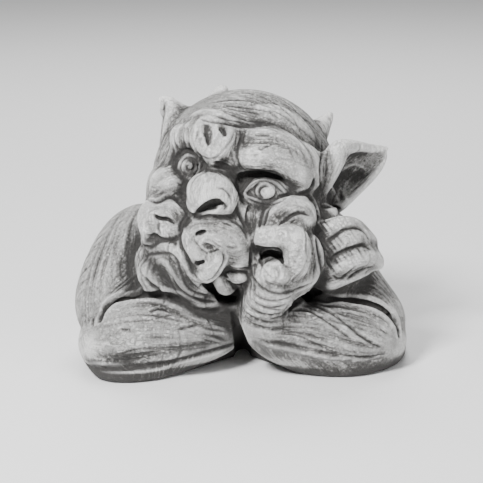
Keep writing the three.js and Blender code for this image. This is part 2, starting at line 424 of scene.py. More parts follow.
# The other hand, gripping the right upper arm: the heel of the hand is an egg of clay, and each of the
# three bent fingers is a roll that narrows to its tip.
FINGER_RADII = [8.5, 9.5, 10, 9.5, 8.5, 7]
FINGERS = [
    [(78, 122, -70), (89, 128, -74), (101, 131, -72), (112, 130, -64), (121, 123, -52), (127, 110, -38)],
    [(82, 105, -73), (94, 113, -77), (107, 119, -77), (118, 120, -69), (128, 116, -57), (130, 107, -45)],
    [(84, 84, -73), (97, 92, -78), (111, 98, -80), (124, 101, -73), (134, 98, -62), (138, 88, -52)],
]
ball(face, reach(88, 97, -50), (22, 28, 34), turn=8)
for finger in FINGERS:
    strand(finger, FINGER_RADII, squareness=4)
strand([(84, 72, -68), (98, 79, -71), (114, 84, -68), (130, 86, -58)], [10, 9, 7.5, 5])
strand([(82, 142, -50), (90, 144, -50), (97, 146, -44)], [7, 7, 3])

# The ears: a pointed ear at each side, of rolled clay. The right ear is a cupped leaf with a broad front
# edge; the left ear turns its edge to the front.


def leaf(clay, front, middle, back, behind, thickness):
    """A cupped leaf between a front edge and a back edge, as deep as its middle line."""
    lines = (front, middle, back)
    front, middle, back = ([reach(x, h, y + behind) for x, h, y in line] for line in lines)
    lump = bmesh.new()
    bmesh.ops.create_grid(lump, x_segments=18, y_segments=12, size=1)
    flat = np.array([vert.co for vert in lump.verts])
    along, over = (flat[:, 0] + 1) / 2, ((flat[:, 1] + 1) / 2)[:, None]
    near, deep, far = (smooth_line([tuple(p) for p in line], along) for line in (front, middle, back))
    bulge = 2 * deep - 0.5 * (near + far)
    placed = near * (1 - over) ** 2 + bulge * 2 * over * (1 - over) + far * over**2
    for vert, point in zip(lump.verts, placed):
        vert.co = point
    bmesh.ops.solidify(lump, geom=lump.faces[:] + lump.edges[:] + lump.verts[:], thickness=thickness)
    press_on(clay, lump)


EAR_THICKNESS = 5
EAR_LAYERS = (0, 4, 8)
for behind in EAR_LAYERS:
    leaf(
        face,
        [(80, 160, -42), (88, 190, -46), (98, 208, -42), (122, 209, -30), (143, 206, -18)],
        [(84, 160, -30), (94, 176, -25), (106, 190, -20), (123, 198, -18), (143, 204, -16)],
        [(98, 147, -30), (108, 156, -27), (120, 168, -22), (136, 184, -17), (144, 200, -14)],
        behind,
        EAR_THICKNESS,
    )
strand([(78, 158, -42), (85, 178, -50), (92, 196, -55), (99, 208, -52), (120, 211, -34), (146, 206, -18)],
       [5, 9, 11, 10, 5, 3], squareness=6)
strand([(97, 146, -32), (107, 156, -29), (120, 168, -24), (136, 184, -19), (143, 196, -16),
        (145, 208, -16)], [4.5, 4, 3.5, 3, 3, 3], squareness=6)
strand([(-70, 180, -14), (-71, 203, -8), (-71, 225, 4), (-69, 241, 20), (-72, 253, 36), (-79, 259, 46)],
       [10, 10, 9, 8, 5, 2.5], squareness=5)
strand([(-70, 180, 22), (-75, 207, 34), (-75, 231, 44), (-75, 247, 50), (-80, 258, 50)],
       [10, 8, 6, 4, 2.5], squareness=5)
strand([(-70, 185, 6), (-73, 209, 16), (-73, 231, 28), (-73, 245, 38), (-79, 257, 46)],
       [16, 15, 12, 8, 2.5], squareness=4, flat=0.45, across=(1, 0.35, 0))
strand([(-79, 258, 46), (-70, 257, 44), (-62, 252, 36), (-54, 247, 26)], [3, 3.5, 4, 4], squareness=5)

# The clay of the face, hands and ears is melted into one skin and worked into the narrow gaps. The
# eyes, tusk, low tooth, tongue, horns and ear tips go on after that, so they stay crisp.
LUMP_GRAIN = 1.5
LUMP_SMOOTHING = 4
FILLED_SMOOTHING = 5
GAP_FILL = 4.8
CRISP_GRAIN = 1.3


def fill_gaps(piece, amount, grain):
    """Swells the piece and draws it in again, which leaves its narrow gaps filled."""
    for change in (amount / 2, amount / 2, -amount / 2, -amount / 2):
        swell = piece.modifiers.new("swell", "DISPLACE")
        swell.mid_level = 0
        swell.strength = change
        fuse(piece, grain, 1)


spare = gargoyle
gargoyle = finished_piece(face, "gargoyle_casting")
bpy.data.objects.remove(spare)
fuse(gargoyle, LUMP_GRAIN, LUMP_SMOOTHING)
fill_gaps(gargoyle, GAP_FILL, LUMP_GRAIN)
fuse(gargoyle, LUMP_GRAIN, FILLED_SMOOTHING)

face = bmesh.new()
face.from_mesh(gargoyle.data)
# Left eye: a round staring ball in a ring of lid, deep in its socket.
LID_RADIUS = 2.3
mound(-51, 190, -7, (14, 13, 14))
mound(-52, 190, -1, (8, 8, 8))
coil(ring(-52, 190, 11, 11.5, 1), [LID_RADIUS] * RING_PLACES, squareness=12)
# Right eye: a ball between two heavy lids, under the black shadow of the brow.
mound(24, 166, -6, (25, 13, 13))
mound(24, 166.5, -2, (13, 12.5, 11))
coil([(1, 162, 2), (9, 171, 4), (18, 176, 5), (29, 175.5, 5), (39, 170, 4), (47, 162, 2)],
     [2, 2.1, 2.1, 2.1, 2.1, 2])
coil([(1, 162, 2), (10, 158, 5), (22, 154.5, 6), (34, 156, 6), (47, 162, 2)], [2, 2, 2.1, 2, 2])
coil([(0, 157, 1), (10, 153, 4), (22, 150, 5), (36, 151, 4), (50, 159, 2)], [2, 2.4, 2.4, 2.4, 2])
# The tip of the tusk, the low tooth, and the tongue behind it.
coil([(-47, 90, 4), (-43, 83, 7), (-35, 81, 8), (-28, 87, 9), (-22, 96, 9), (-18, 107, 7)],
     [2, 5, 7, 7.5, 6, 2.5], squareness=6)
mound(-4, 81, 2, (11, 9, 6.5), turn=4)
coil([(-22, 85, -2), (-17, 75, 0), (-10, 64, -3)], [9, 11.5, 9])
# The horns, and the sharp tips of both ears.
strand([(-26, 238, 46), (-23, 254, 50), (-20, 264, 52), (-17, 272, 54)], [14, 13, 9, 4], squareness=6)
strand([(74, 222, 20), (82, 233, 26), (91, 244.5, 30)], [14, 9, 3], squareness=6)
strand([(-76, 240, 38), (-78, 252, 44), (-82, 260, 47)], [5, 4.5, 2], squareness=6)
strand([(-81, 259, 47), (-72, 258, 44), (-63, 252, 37), (-55, 247, 28)], [2.5, 3, 3.5, 3.5], squareness=6)
strand([(100, 213, -48), (118, 210.5, -36), (134, 208.5, -24), (147, 208.5, -17)],
       [5, 4.5, 4, 2.5], squareness=6)
spare = gargoyle
gargoyle = finished_piece(face, "gargoyle_casting")
bpy.data.objects.remove(spare)
gargoyle.name = "gargoyle_casting"
fuse(gargoyle, CRISP_GRAIN, 1)

# The hollows: pits, slots and gaps cut deep into the clay with a wire tool, for the mould to come out
# # of cleanly. They are dark from real shadow, from the black wash and from painted shade. None goes
# through.
HOLLOW_GRAIN = 1.2
FINE_GRAIN = 1.15
FACE_SKIN = surface_of(gargoyle)
hollows = bmesh.new()


def hollow(places, widths, **shape):
    """A hollow along places on the face."""
    roll(hollows, laid(places), widths, **shape)


# Pits in the left brow, the dark under the right brow, the nostril.
hollow([(-36, 235, 3), (-36, 228, 2.5), (-34, 219, 1), (-33, 211, 0)], [6, 6.5, 4.5, 2], squareness=5)
hollow([(-19, 234, 3), (-18, 228, 2), (-16, 220, 0)], [4.5, 4.5, 2], squareness=5)
hollow([(-5, 174, 0), (0, 182, -1), (14, 184, -2), (26, 183, -2), (38, 178, -2), (46, 170, 0)],
       [3, 4, 4, 4, 3.5, 2], flat=1.6)
hollow([(-49, 142, 0), (-41, 145.5, 0), (-31, 150.5, -1), (-23, 154, -1), (-17, 154, 0)],
       [2, 4.5, 6.5, 5, 2], flat=1.9)
# The slots in the lips, the open mouth and the hollow in the fist.
hollow([(-87, 141, 1), (-80, 138, 1), (-70, 136, 1), (-65, 133, 1)], [2, 2, 1.5, 1.5], flat=1.5)
hollow([(-46, 122, 1), (-41, 124.5, 0), (-35, 126, 1)], [2, 3, 1.5], flat=1.5)
hollow([(-39, 113, 2), (-31, 109, 1), (-24, 109, 2)], [4, 4, 2.5])
hollow([(-48, 95, 0), (-42, 94, 0), (-36, 96.5, 0)], [2, 2.5, 1.5], flat=2)
hollow([(-40, 74, 0), (-31, 70, -4), (-22, 61, -8), (-12, 56, -8), (-4, 56, -6)],
       [3, 5, 6, 6, 5], flat=1.4)
hollow([(1, 73, 0), (-8, 74, -1)], [3.5, 2.5], flat=1.5)
hollow([(20, 96, 0), (22, 101, -1), (28, 104, -3), (35, 103, -3), (40, 98, -1), (42, 91, 0)],
       [1.5, 3, 3.5, 3.5, 3, 1.5], flat=2)
# The gaps round the fist and the gripping hand, and the crook of each arm.
hollow([(46, 44, 0), (52, 54, -4), (62, 61, -6), (74, 67, -6), (82, 67, -3)], [2.5, 5, 6, 6, 4], flat=1.5)
hollow([(-138, 45, 1), (-130, 52, 0), (-115, 59, 0), (-96, 63, 0), (-78, 63, 0), (-62, 57, 0)],
       [0.8, 2.5, 4, 4, 4, 3], flat=1.5)
hollow([(84, 58, 0), (108, 56, 0), (130, 52, 0), (146, 43, 0), (155, 31, 0)],
       [2, 3, 3, 2.5, 1.5], flat=1.6)
hollow([(-10, 46, 0), (-5, 34, 0), (0, 20, 0), (1, 4, 0), (1, -10, 0)], [3, 5, 8, 9, 8], flat=1.8)
dig(gargoyle, hollows, HOLLOW_GRAIN)
fuse(gargoyle, FINE_GRAIN, 1)

# The tool marks of the crown: long locks combed from the left temple over to the right ear. A mark is
# drawn on the board, falls on the skin along the line of sight, and is cut into the clay with a small
# burr at both sides. The model is turned on the bench to reach its sides and back.
skin = surface_of(gargoyle)
count = len(gargoyle.data.vertices)
places = np.empty(count * 3)
gargoyle.data.vertices.foreach_get("co", places)
places = places.reshape(-1, 3)
facing = np.empty(count * 3)
gargoyle.data.vertices.foreach_get("normal", facing)
facing = facing.reshape(-1, 3)
groove = np.zeros(count)
burr = np.zeros(count)
# Painted shade, laid along lines further down:
painted_shade = np.zeros(count)
draw = random.Random(7)
STEP = 0.9
FEWEST_STEPS = 6
MARK_TAPER = 0.2
BURR_SHARE = 0.22
BURR_PLACE = 1.35
BURR_WIDTH = 0.4
MARK_ROOM = 2.2
SHORTEST_TAPER = 1e-3
MARK_NARROWEST = 0.45
FADE_CURVE = 0.6
GROOVE_CURVE = 1.15


def trace(line, turn):
    """Where a line drawn on the board falls on the skin, with the share of its length at each point."""
    length = np.linalg.norm(np.diff(np.asarray(line, float), axis=0), axis=1).sum()
    share = np.linspace(0, 1, max(FEWEST_STEPS, int(length / STEP)))
    spin = Matrix.Rotation(math.radians(turn), 3, "Z")
    eye = spin @ EYE
    hits = [skin.ray_cast(eye, spin @ sight(x, h))[0] for x, h in smooth_line(line, share)]
    kept = [(tuple(hit), part) for hit, part in zip(hits, share) if hit is not None]
    if not kept:
        return None, None
    return np.array([hit for hit, part in kept]), np.array([part for hit, part in kept])


by_x = np.argsort(places[:, 0])
sorted_x = places[by_x, 0]


def near_to(path, room):
    """The points of the skin within a box round a path."""
    low, high = path.min(0) - room, path.max(0) + room
    band = by_x[np.searchsorted(sorted_x, low[0]) : np.searchsorted(sorted_x, high[0])]
    band = band[(places[band, 2] > low[2]) & (places[band, 2] < high[2])]
    return band[(places[band, 1] > low[1]) & (places[band, 1] < high[1])]


def score(line, width, depth, taper=MARK_TAPER, turn=0):
    """Cuts one groove; a depth below zero raises a ridge instead."""
    path, share = trace(line, turn)
    if path is None:
        return
    near = near_to(path, MARK_ROOM * width)
    if not len(near):
        return
    gaps = ((places[near][:, None, :] - path[None, :, :]) ** 2).sum(2)
    nearest = gaps.argmin(1)
    part = share[nearest]
    fade = np.clip(np.minimum(part, 1 - part) / max(taper, SHORTEST_TAPER), 0, 1) ** FADE_CURVE
    across = np.sqrt(gaps.min(1)) / (width * (MARK_NARROWEST + (1 - MARK_NARROWEST) * fade))
    cut_in = abs(depth) * fade * np.clip(1 - across, 0, 1) ** GROOVE_CURVE
    edge = BURR_SHARE * abs(depth) * fade * np.exp(-(((across - BURR_PLACE) / BURR_WIDTH) ** 2))
    if depth > 0:
        groove[near] = np.maximum(groove[near], cut_in)
        burr[near] = np.maximum(burr[near], edge)
    else:
        burr[near] = np.maximum(burr[near], cut_in)


lie_places = []
lie_values = []
LIE_STEP = 4
LIE_PLACES = 25
LIE_SPREAD = 0.15


def lie_of(guides, turn):
    """Notes which way the skin between guide lines is combed, for the scratches too fine to cut."""
    guides = [smooth_line(guide, np.linspace(0, 1, LIE_PLACES)) for guide in guides]
    family = lie_values[-1][2] + 1 if lie_values else 1
    spin = Matrix.Rotation(math.radians(turn), 3, "Z")
    across = 0.0
    for near_line, far_line in zip(guides, guides[1:]):
        width = np.linalg.norm(far_line - near_line, axis=1).mean()
        length = np.linalg.norm(np.diff(near_line, axis=0), axis=1).sum()
        rows = max(2, int(width / LIE_STEP) + 1)
        for row in np.linspace(-LIE_SPREAD, 1 + LIE_SPREAD, rows + 1):
            line = near_line + (far_line - near_line) * row
            for share in np.linspace(0, 1, max(3, int(length / LIE_STEP))):
                x, h = smooth_line(line, [share])[0]
                place = skin.ray_cast(spin @ EYE, spin @ sight(x, h))[0]
                if place is not None:
                    lie_places.append(place)
                    lie_values.append((across + row * width, share * length, family))
        across += width


HAIR_PLACES = 9
HAIR_TAPER = 0.35
HAIR_WAVER = 0.8
HAIR_SHIFT = (-0.6, 1.6)
HAIR_WAVES = (4, 9)
HAIR_WIDTHS = (0.6, 1.3)
HAIR_DEPTHS = (0.35, 1.15)


def comb(guides, hairs, width, depth, shortest=0.25, longest=0.8, turn=0):
    """Many fine grooves that run with the guide lines and fill the space between them."""
    for i in range(hairs):
        side = (len(guides) - 1) * min(max((i + draw.uniform(*HAIR_SHIFT)) / hairs, 0), 1)
        first = min(int(side), len(guides) - 2)
        length = draw.uniform(shortest, longest)
        start = draw.uniform(0, 1 - length)
        share = np.linspace(start, start + length, HAIR_PLACES)
        near_line = smooth_line(guides[first], share)
        far_line = smooth_line(guides[first + 1], share)
        line = near_line + (far_line - near_line) * (side - first)
        line[:, 1] += draw.uniform(-HAIR_WAVER, HAIR_WAVER) * np.sin(share * draw.uniform(*HAIR_WAVES))
        hair_width = width * draw.uniform(*HAIR_WIDTHS)
        hair_depth = depth * draw.uniform(*HAIR_DEPTHS)
        score(line, hair_width, hair_depth, HAIR_TAPER, turn)
    lie_of(guides, turn)


CROWN = [
    [(-60, 236), (-40, 240), (-20, 236), (-5, 231), (10, 229), (30, 228), (50, 216), (66, 200),
     (74, 184)],
    [(-56, 242), (-32, 245), (-12, 241), (6, 234), (24, 233), (44, 228), (60, 216), (72, 202), (79, 182)],
    [(-48, 248), (-26, 251), (-5, 248), (14, 244), (32, 240), (48, 234), (62, 222), (76, 206), (84, 186)],
    [(-36, 255), (-16, 257), (4, 257), (22, 252), (38, 246), (52, 238), (66, 226), (80, 212), (88, 196)],
    [(-24, 261), (-6, 263), (12, 262), (28, 257), (44, 250), (56, 241), (68, 231), (78, 222), (86, 214)],
    [(-14, 265), (2, 267), (16, 266), (32, 262), (46, 255), (58, 246), (68, 236), (76, 227), (84, 219)],
]
comb(CROWN, 90, width=1.8, depth=1.1)
comb(CROWN, 26, width=3.4, depth=1.6, shortest=0.3)
for line in [
    [(-31, 254), (-20, 256), (-8, 257), (6, 257)],
    [(-33, 251), (-15, 251), (0, 250), (15, 248), (28, 246), (38, 243)],
    [(-22, 251), (-5, 247), (10, 245), (22, 241)],
    [(8, 250), (22, 247), (32, 243), (40, 238)],
    [(-30, 243), (-18, 239), (-5, 236), (7, 233), (16, 232)],
    [(-46, 240), (-34, 236), (-20, 234), (-5, 231), (6, 229)],
    [(10, 264), (28, 257), (42, 248), (52, 239), (58, 229), (63, 219)],
    [(20, 265), (36, 260), (50, 251), (61, 240), (67, 231)],
    [(26, 249), (38, 244), (49, 237), (56, 229)],
]:
    score(line, width=2.4, depth=2.4)

# The tool marks of the brows, left eye and nose: the creases round each lock and roll, and the wrinkles
# on them, cut with the point and then combed more finely.
for line, width, depth in [
    ([(-50, 226), (-50, 218), (-47, 209), (-40, 201), (-30, 198), (-20, 203), (-13, 212), (-10, 222)],
     2.4, 1.6),
    ([(-35, 224), (-34, 218), (-33, 211)], 2.0, 2.0),
    ([(-19, 229), (-17, 225), (-16, 220)], 1.8, 1.8),
    ([(-67, 230), (-68, 220), (-65, 210), (-58, 206), (-52, 208)], 2.4, 2.0),
    ([(-2, 228), (0, 220), (-4, 208), (-4, 198), (-1, 190), (5, 186)], 2.2, 1.8),
    ([(4, 228), (2, 218), (2, 212)], 2.0, 1.6),
    ([(-11, 208), (-9, 199), (-6, 191)], 2.0, 1.8),
    ([(-22, 203), (-16, 209), (-10, 216), (-7, 226)], 2.0, 1.6),
    ([(10, 228), (22, 230), (36, 225), (50, 215), (60, 207), (68, 196)], 1.8, 1.0),
    ([(13, 222), (24, 222), (29, 222)], 2.2, 2.2),
    ([(15, 209), (20, 208), (26, 211), (33, 213)], 2.0, 1.8),
    ([(36, 208), (44, 209), (50, 208)], 1.6, 1.2),
    ([(28, 196), (38, 198), (50, 197), (60, 190)], 1.8, 1.2),
    ([(73, 180), (71, 172), (66, 166), (58, 163), (50, 163)], 2.8, 3.4),
]:
    score(line, width, depth)
WRINKLE_WIDTH = 1.3
WRINKLE_DEPTH = 1.05
BROW_WRINKLES = [
    [(24, 192), (36, 190), (48, 184), (58, 178), (68, 176)],
    [(28, 202), (40, 200), (52, 194), (62, 188), (72, 186)],
    [(20, 212), (34, 212), (48, 206), (62, 198), (74, 192)],
]
comb(BROW_WRINKLES, 26, width=1.4, depth=0.9)
comb([[(44, 186), (52, 178), (66, 172)], [(42, 178), (50, 170), (62, 166)]], 8, WRINKLE_WIDTH, depth=0.9)

for guides, hairs in [
    # The temple beside the left brow, the lock itself, and the skin between the brows.
    ([[(-74, 248), (-74, 230), (-72, 212), (-67, 200)], [(-62, 246), (-62, 232), (-61, 218), (-59, 208)],
      [(-51, 246), (-53, 236), (-51, 224), (-50, 212)]], 28),
    ([[(-47, 234), (-48, 218), (-42, 206), (-31, 201), (-20, 206), (-13, 216), (-12, 230)],
      [(-40, 236), (-41, 220), (-37, 210), (-30, 206), (-23, 210), (-20, 220), (-19, 233)]], 18),
    ([[(-31, 235), (-31, 222), (-29, 208)], [(-22, 235), (-23, 222), (-26, 208)]], 10),
    ([[(-11, 232), (-11, 216), (-17, 204), (-26, 198)], [(-3, 230), (-5, 214), (-9, 200), (-15, 190)]],
     18),
    # The right brow, combed out over the eye to its drooping end.
    ([[(0, 191), (12, 190), (28, 190), (44, 184), (54, 169)],
      [(-2, 202), (14, 202), (32, 201), (50, 194), (64, 174)],
      [(1, 213), (18, 214), (36, 213), (56, 204), (72, 184)],
      [(8, 224), (24, 226), (44, 222), (62, 210), (76, 194)]], 88),
    # Round the left eye, and from its lower lid out over the cheek.
    ([[(-70, 188), (-68, 200), (-58, 209), (-46, 207), (-36, 198)],
      [(-66, 186), (-64, 198), (-56, 204), (-46, 203), (-39, 195)]], 12),
    ([[(-56, 168), (-68, 161), (-82, 156), (-96, 155)], [(-58, 177), (-70, 172), (-84, 165), (-95, 164)],
      [(-64, 184), (-74, 182), (-84, 176), (-91, 174)], [(-68, 194), (-74, 193), (-80, 188), (-84, 184)]],
      48),
    # The root, back and sides of the nose.
    ([[(-36, 189), (-24, 189), (-12, 185), (-5, 173)], [(-34, 195), (-22, 197), (-10, 193), (-3, 180)]],
     16),
    ([[(-41, 184), (-49, 176), (-53, 166), (-51, 154), (-46, 146)],
      [(-32, 186), (-38, 176), (-40, 164), (-38, 152)],
      [(-20, 183), (-20, 174), (-18, 164), (-20, 156)], [(-8, 173), (-6, 162), (-6, 150), (-10, 144)]],
      40),
]:
    comb(guides, hairs, WRINKLE_WIDTH, WRINKLE_DEPTH)

# The tool marks of the eyes: a deep line round each ball, doubled lids, and a curled pupil, all cut with
# the point in the soft clay.
for line, width, depth, taper in [
    ([(x, h) for x, h, _ in ring(-52, 190, 9, 9.5, 0)], 1.4, 1.5, 0),
    ([(-51, 196), (-47, 192), (-49, 187), (-54, 187), (-55, 191), (-52, 192)], 1.8, 2.4, MARK_TAPER),
    ([(-67, 192), (-63, 202), (-54, 207), (-43, 202), (-36, 193), (-33, 186)], 3.2, 2.6, MARK_TAPER),
    ([(29, 170), (23, 171), (18, 167), (18, 162), (22, 159)], 2.2, 3.0, MARK_TAPER),
    ([(26, 169), (22, 167), (22, 164)], 1.6, 1.6, MARK_TAPER),
    ([(x, h) for x, h, _ in ring(24, 166.5, 11, 9.5, 0)], 1.5, 1.3, 0),
    ([(3, 163), (10, 172), (20, 176), (30, 174), (38, 168), (43, 163)], 1.5, 1.6, MARK_TAPER),
    ([(3, 161), (12, 156), (24, 152), (36, 154), (48, 161)], 1.6, 1.8, MARK_TAPER),
    ([(1, 165), (8, 175), (18, 181), (30, 180), (40, 173), (48, 163)], 1.8, 2.0, MARK_TAPER),
]:
    score(line, width, depth, taper)

# The tool marks of the nose and left cheek: the crease round the nose, the curl of its wings, thin raised
# folds over its root, and wrinkles that fan out from under the eye.
for line, width, depth in [
    ([(-62, 169), (-58, 160), (-55, 151), (-50, 143), (-42, 140), (-30, 141), (-18, 140), (-9, 142),
      (-5, 152)], 3.2, 3.4),
    ([(-25, 189), (-14, 187), (-8, 180), (-3, 171), (-4, 160), (-6, 150)], 2.2, 2.2),
    ([(-27, 169), (-18, 168), (-12, 162), (-9, 154)], 2.0, 1.8),
    ([(-44, 145), (-36, 149), (-28, 153), (-20, 154), (-15, 150), (-18, 147)], 2.6, 2.6),
    ([(-33, 186), (-24, 184), (-16, 178)], 1.8, 1.2),
    ([(-34, 189), (-24, 187), (-14, 186), (-6, 181), (-3, 174)], 1.9, -1.7),
    ([(-32, 194), (-22, 192), (-12, 190)], 1.8, -1.5),
    ([(-28, 198), (-18, 196), (-9, 191)], 1.7, -1.5),
    ([(-30, 191), (-20, 189.5), (-9, 187)], 1.5, 1.6),
    ([(-27, 195.5), (-17, 194), (-9, 189)], 1.5, 1.6),
    ([(-35, 185), (-44, 181), (-50, 174), (-53, 164)], 2.2, 1.8),
]:
    score(line, width, depth)

comb(
    [
        [(-58, 172), (-68, 166), (-80, 158), (-92, 152)],
        [(-58, 178), (-70, 174), (-82, 168), (-92, 160)],
        [(-66, 186), (-74, 184), (-82, 178), (-90, 170)],
    ],
    18, width=1.5, depth=1.1,
)
score([(-66, 176), (-60, 172), (-56, 178)], width=1.6, depth=1.2)
score([(-95, 158), (-84, 155), (-72, 160), (-64, 156), (-56, 147), (-54, 141)], width=2.8, depth=3.0)

# The tool marks of the mouth: the folds of both lips, the lines round the tusk and the low tooth, and
# the sweep of the lower lip and chin, cut with the point and combed.
for line, width, depth in [
    ([(-88, 143), (-82, 139), (-74, 138), (-66, 133)], 2.4, 2.8),
    ([(-82, 136), (-83, 128), (-80, 122)], 1.8, 1.6),
    ([(-92, 120), (-86, 122), (-80, 118), (-70, 117), (-62, 121), (-58, 128)], 3.0, 3.2),
    ([(-54, 142), (-60, 133), (-61, 122), (-60, 110), (-55, 101), (-51, 92), (-48, 82), (-42, 76)],
     2.8, 3.2),
    ([(-54, 139), (-42, 141), (-28, 141), (-14, 138), (-4, 133), (3, 125), (7, 114)], 2.2, 1.4),
    ([(-47, 121), (-42, 125), (-34, 126)], 2.0, 2.4),
    ([(-49, 120), (-44, 112), (-38, 106), (-34, 103)], 1.6, 1.4),
    ([(-38, 117), (-30, 116), (-24, 112), (-18, 109)], 1.6, 1.2),
    ([(-35, 104), (-28, 106), (-21, 108)], 1.8, 2.0),
    ([(-16, 111), (-9, 109), (-2, 110)], 1.6, 1.6),
    ([(-12, 120), (-4, 121)], 1.2, 0.9),
    ([(-20, 106), (-17, 98), (-21, 88), (-28, 79), (-36, 76)], 2.4, 2.8),
    ([(-48, 94), (-42, 93), (-36, 97)], 2.0, 2.4),
    ([(-14, 92), (-6, 89), (4, 89), (10, 88)], 2.2, 2.4),
    ([(-14, 77), (-8, 75), (2, 75)], 2.0, 2.4),
    ([(-18, 84), (-12, 77), (-8, 70)], 1.8, 1.8),
    ([(9, 112), (9, 100), (9, 90), (11, 80), (16, 72)], 2.4, 2.8),
    ([(-104, 96), (-103, 108), (-98, 111), (-90, 110), (-82, 115), (-72, 116), (-62, 112)], 2.4, 2.4),
    ([(-98, 100), (-90, 103), (-80, 104), (-71, 103), (-65, 97), (-60, 84), (-54, 72)], 2.2, 2.2),
    ([(-81, 84), (-72, 76), (-64, 64), (-52, 56)], 1.8, 1.6),
    ([(-72, 84), (-62, 68), (-50, 60), (-38, 56), (-22, 55)], 2.2, 2.4),
    ([(-62, 86), (-54, 70), (-44, 64), (-30, 61)], 2.0, 1.8),
    ([(-98, 82), (-90, 72), (-80, 66), (-68, 62), (-58, 54), (-46, 48), (-30, 47), (-18, 48)], 3.4, 3.6),
]:
    score(line, width, depth)
comb([[(-96, 96), (-92, 84), (-86, 72)], [(-84, 98), (-76, 80), (-62, 62)],
      [(-72, 98), (-64, 82), (-52, 66)]], 18, width=1.5, depth=1.0)
comb([[(-20, 100), (-8, 97), (6, 98)], [(-12, 116), (-4, 114), (6, 114)]], 8, width=1.2, depth=0.8)

for guides, hairs in [
    # The folded left lip.
    ([[(-98, 149), (-86, 156), (-74, 157), (-62, 151), (-56, 141)],
      [(-100, 140), (-88, 147), (-76, 147), (-66, 137)]], 20),
    ([[(-101, 132), (-92, 137), (-84, 136)], [(-101, 122), (-92, 122), (-84, 124)]], 12),
    ([[(-84, 134), (-74, 134), (-64, 130)], [(-82, 122), (-72, 120), (-64, 124)]], 12),
    # The right lip, from the left corner over the top and down to the right.
    ([[(-58, 129), (-50, 138), (-36, 140), (-18, 137), (-4, 131), (4, 121)],
      [(-54, 122), (-46, 130), (-32, 132), (-16, 130), (-4, 123), (3, 112)],
      [(-50, 113), (-42, 121), (-28, 123), (-14, 120), (0, 110)]], 44),
    ([[(-18, 109), (-8, 107), (5, 109)], [(-16, 100), (-6, 97), (7, 99)], [(-14, 94), (-4, 91), (6, 93)]],
     16),
    ([[(-57, 128), (-58, 116), (-52, 105), (-45, 98)], [(-50, 122), (-50, 112), (-45, 104), (-38, 99)]],
     14),
    ([[(-45, 90), (-40, 80), (-30, 81), (-22, 92), (-18, 104)],
      [(-40, 92), (-34, 88), (-28, 94), (-24, 104)]], 14),
    # The lower lip and chin, swept down to the right under the tusk.
    ([[(-101, 100), (-92, 105), (-80, 108), (-70, 105), (-60, 95), (-52, 78), (-40, 68), (-26, 63)],
      [(-93, 84), (-87, 95), (-78, 99), (-70, 91), (-62, 77), (-50, 64), (-36, 58), (-22, 56)]], 28),
    ([[(-88, 84), (-80, 92), (-72, 86), (-62, 72), (-48, 60), (-34, 55)],
      [(-95, 74), (-84, 74), (-72, 66), (-58, 56), (-42, 50), (-24, 50)]], 24),
]:
    comb(guides, hairs, WRINKLE_WIDTH, WRINKLE_DEPTH)
comb([[(-22, 84), (-18, 74), (-12, 62)], [(-10, 84), (-7, 74), (-3, 64)]], 8, WRINKLE_WIDTH, depth=0.9)
comb([[(-14, 84), (-4, 86), (6, 84)], [(-14, 77), (-4, 76), (6, 77)]], 6, WRINKLE_WIDTH, depth=0.8)

# The tool marks of the right cheek and temple: folds that the fist pushes up in an arch over itself, cut
# with the point, and skin combed down from the brow to the ear.
for guides, hairs in [
    ([[(-4, 158), (-2, 144), (4, 132), (8, 118), (8, 100)],
      [(8, 157), (8, 142), (11, 128), (12, 112), (13, 96)], [(20, 153), (17, 141), (14, 130), (15, 114)]],
      28),
    ([[(24, 132), (27, 143), (34, 152), (48, 157), (62, 156), (72, 146), (74, 132)],
      [(32, 133), (36, 141), (46, 148), (58, 149), (67, 142)]], 18),
    ([[(0, 159), (12, 154), (26, 151), (40, 153), (54, 159)],
      [(4, 152), (14, 148), (26, 147), (36, 152)]], 14),
    ([[(46, 131), (54, 138), (66, 138)], [(50, 128), (58, 132), (68, 132)]], 8),
    # The temple, between the brow and the ear.
    ([[(70, 206), (74, 196), (74, 184), (73, 172), (70, 160)],
      [(78, 216), (80, 200), (79, 184), (77, 168), (74, 152)],
      [(86, 216), (85, 200), (84, 186), (81, 172), (79, 152)]], 36),
]:
    comb(guides, hairs, WRINKLE_WIDTH, WRINKLE_DEPTH)
for line, width, depth in [
    ([(-3, 158), (-4, 146), (2, 134), (6, 124)], 2.4, 2.6),
    ([(10, 154), (6, 146), (5, 136), (7, 130)], 2.2, 2.4),
    ([(28, 152), (22, 146), (19, 136), (18, 128)], 2.2, 2.4),
    ([(33, 154), (27, 146), (24, 136), (22, 130)], 1.8, 1.6),
    ([(36, 131), (43, 136), (51, 142), (60, 144), (69, 141)], 2.4, 2.8),
    ([(47, 131), (53, 137), (60, 139)], 1.6, 1.4),
    ([(32, 157), (42, 161), (56, 163), (66, 161), (73, 153), (76, 142), (75, 128)], 2.6, 2.8),
    ([(14, 128), (11, 118), (12, 108)], 2.0, 2.0),
    ([(20, 106), (19, 98), (21, 90)], 2.2, 2.4),
]:
    score(line, width, depth)

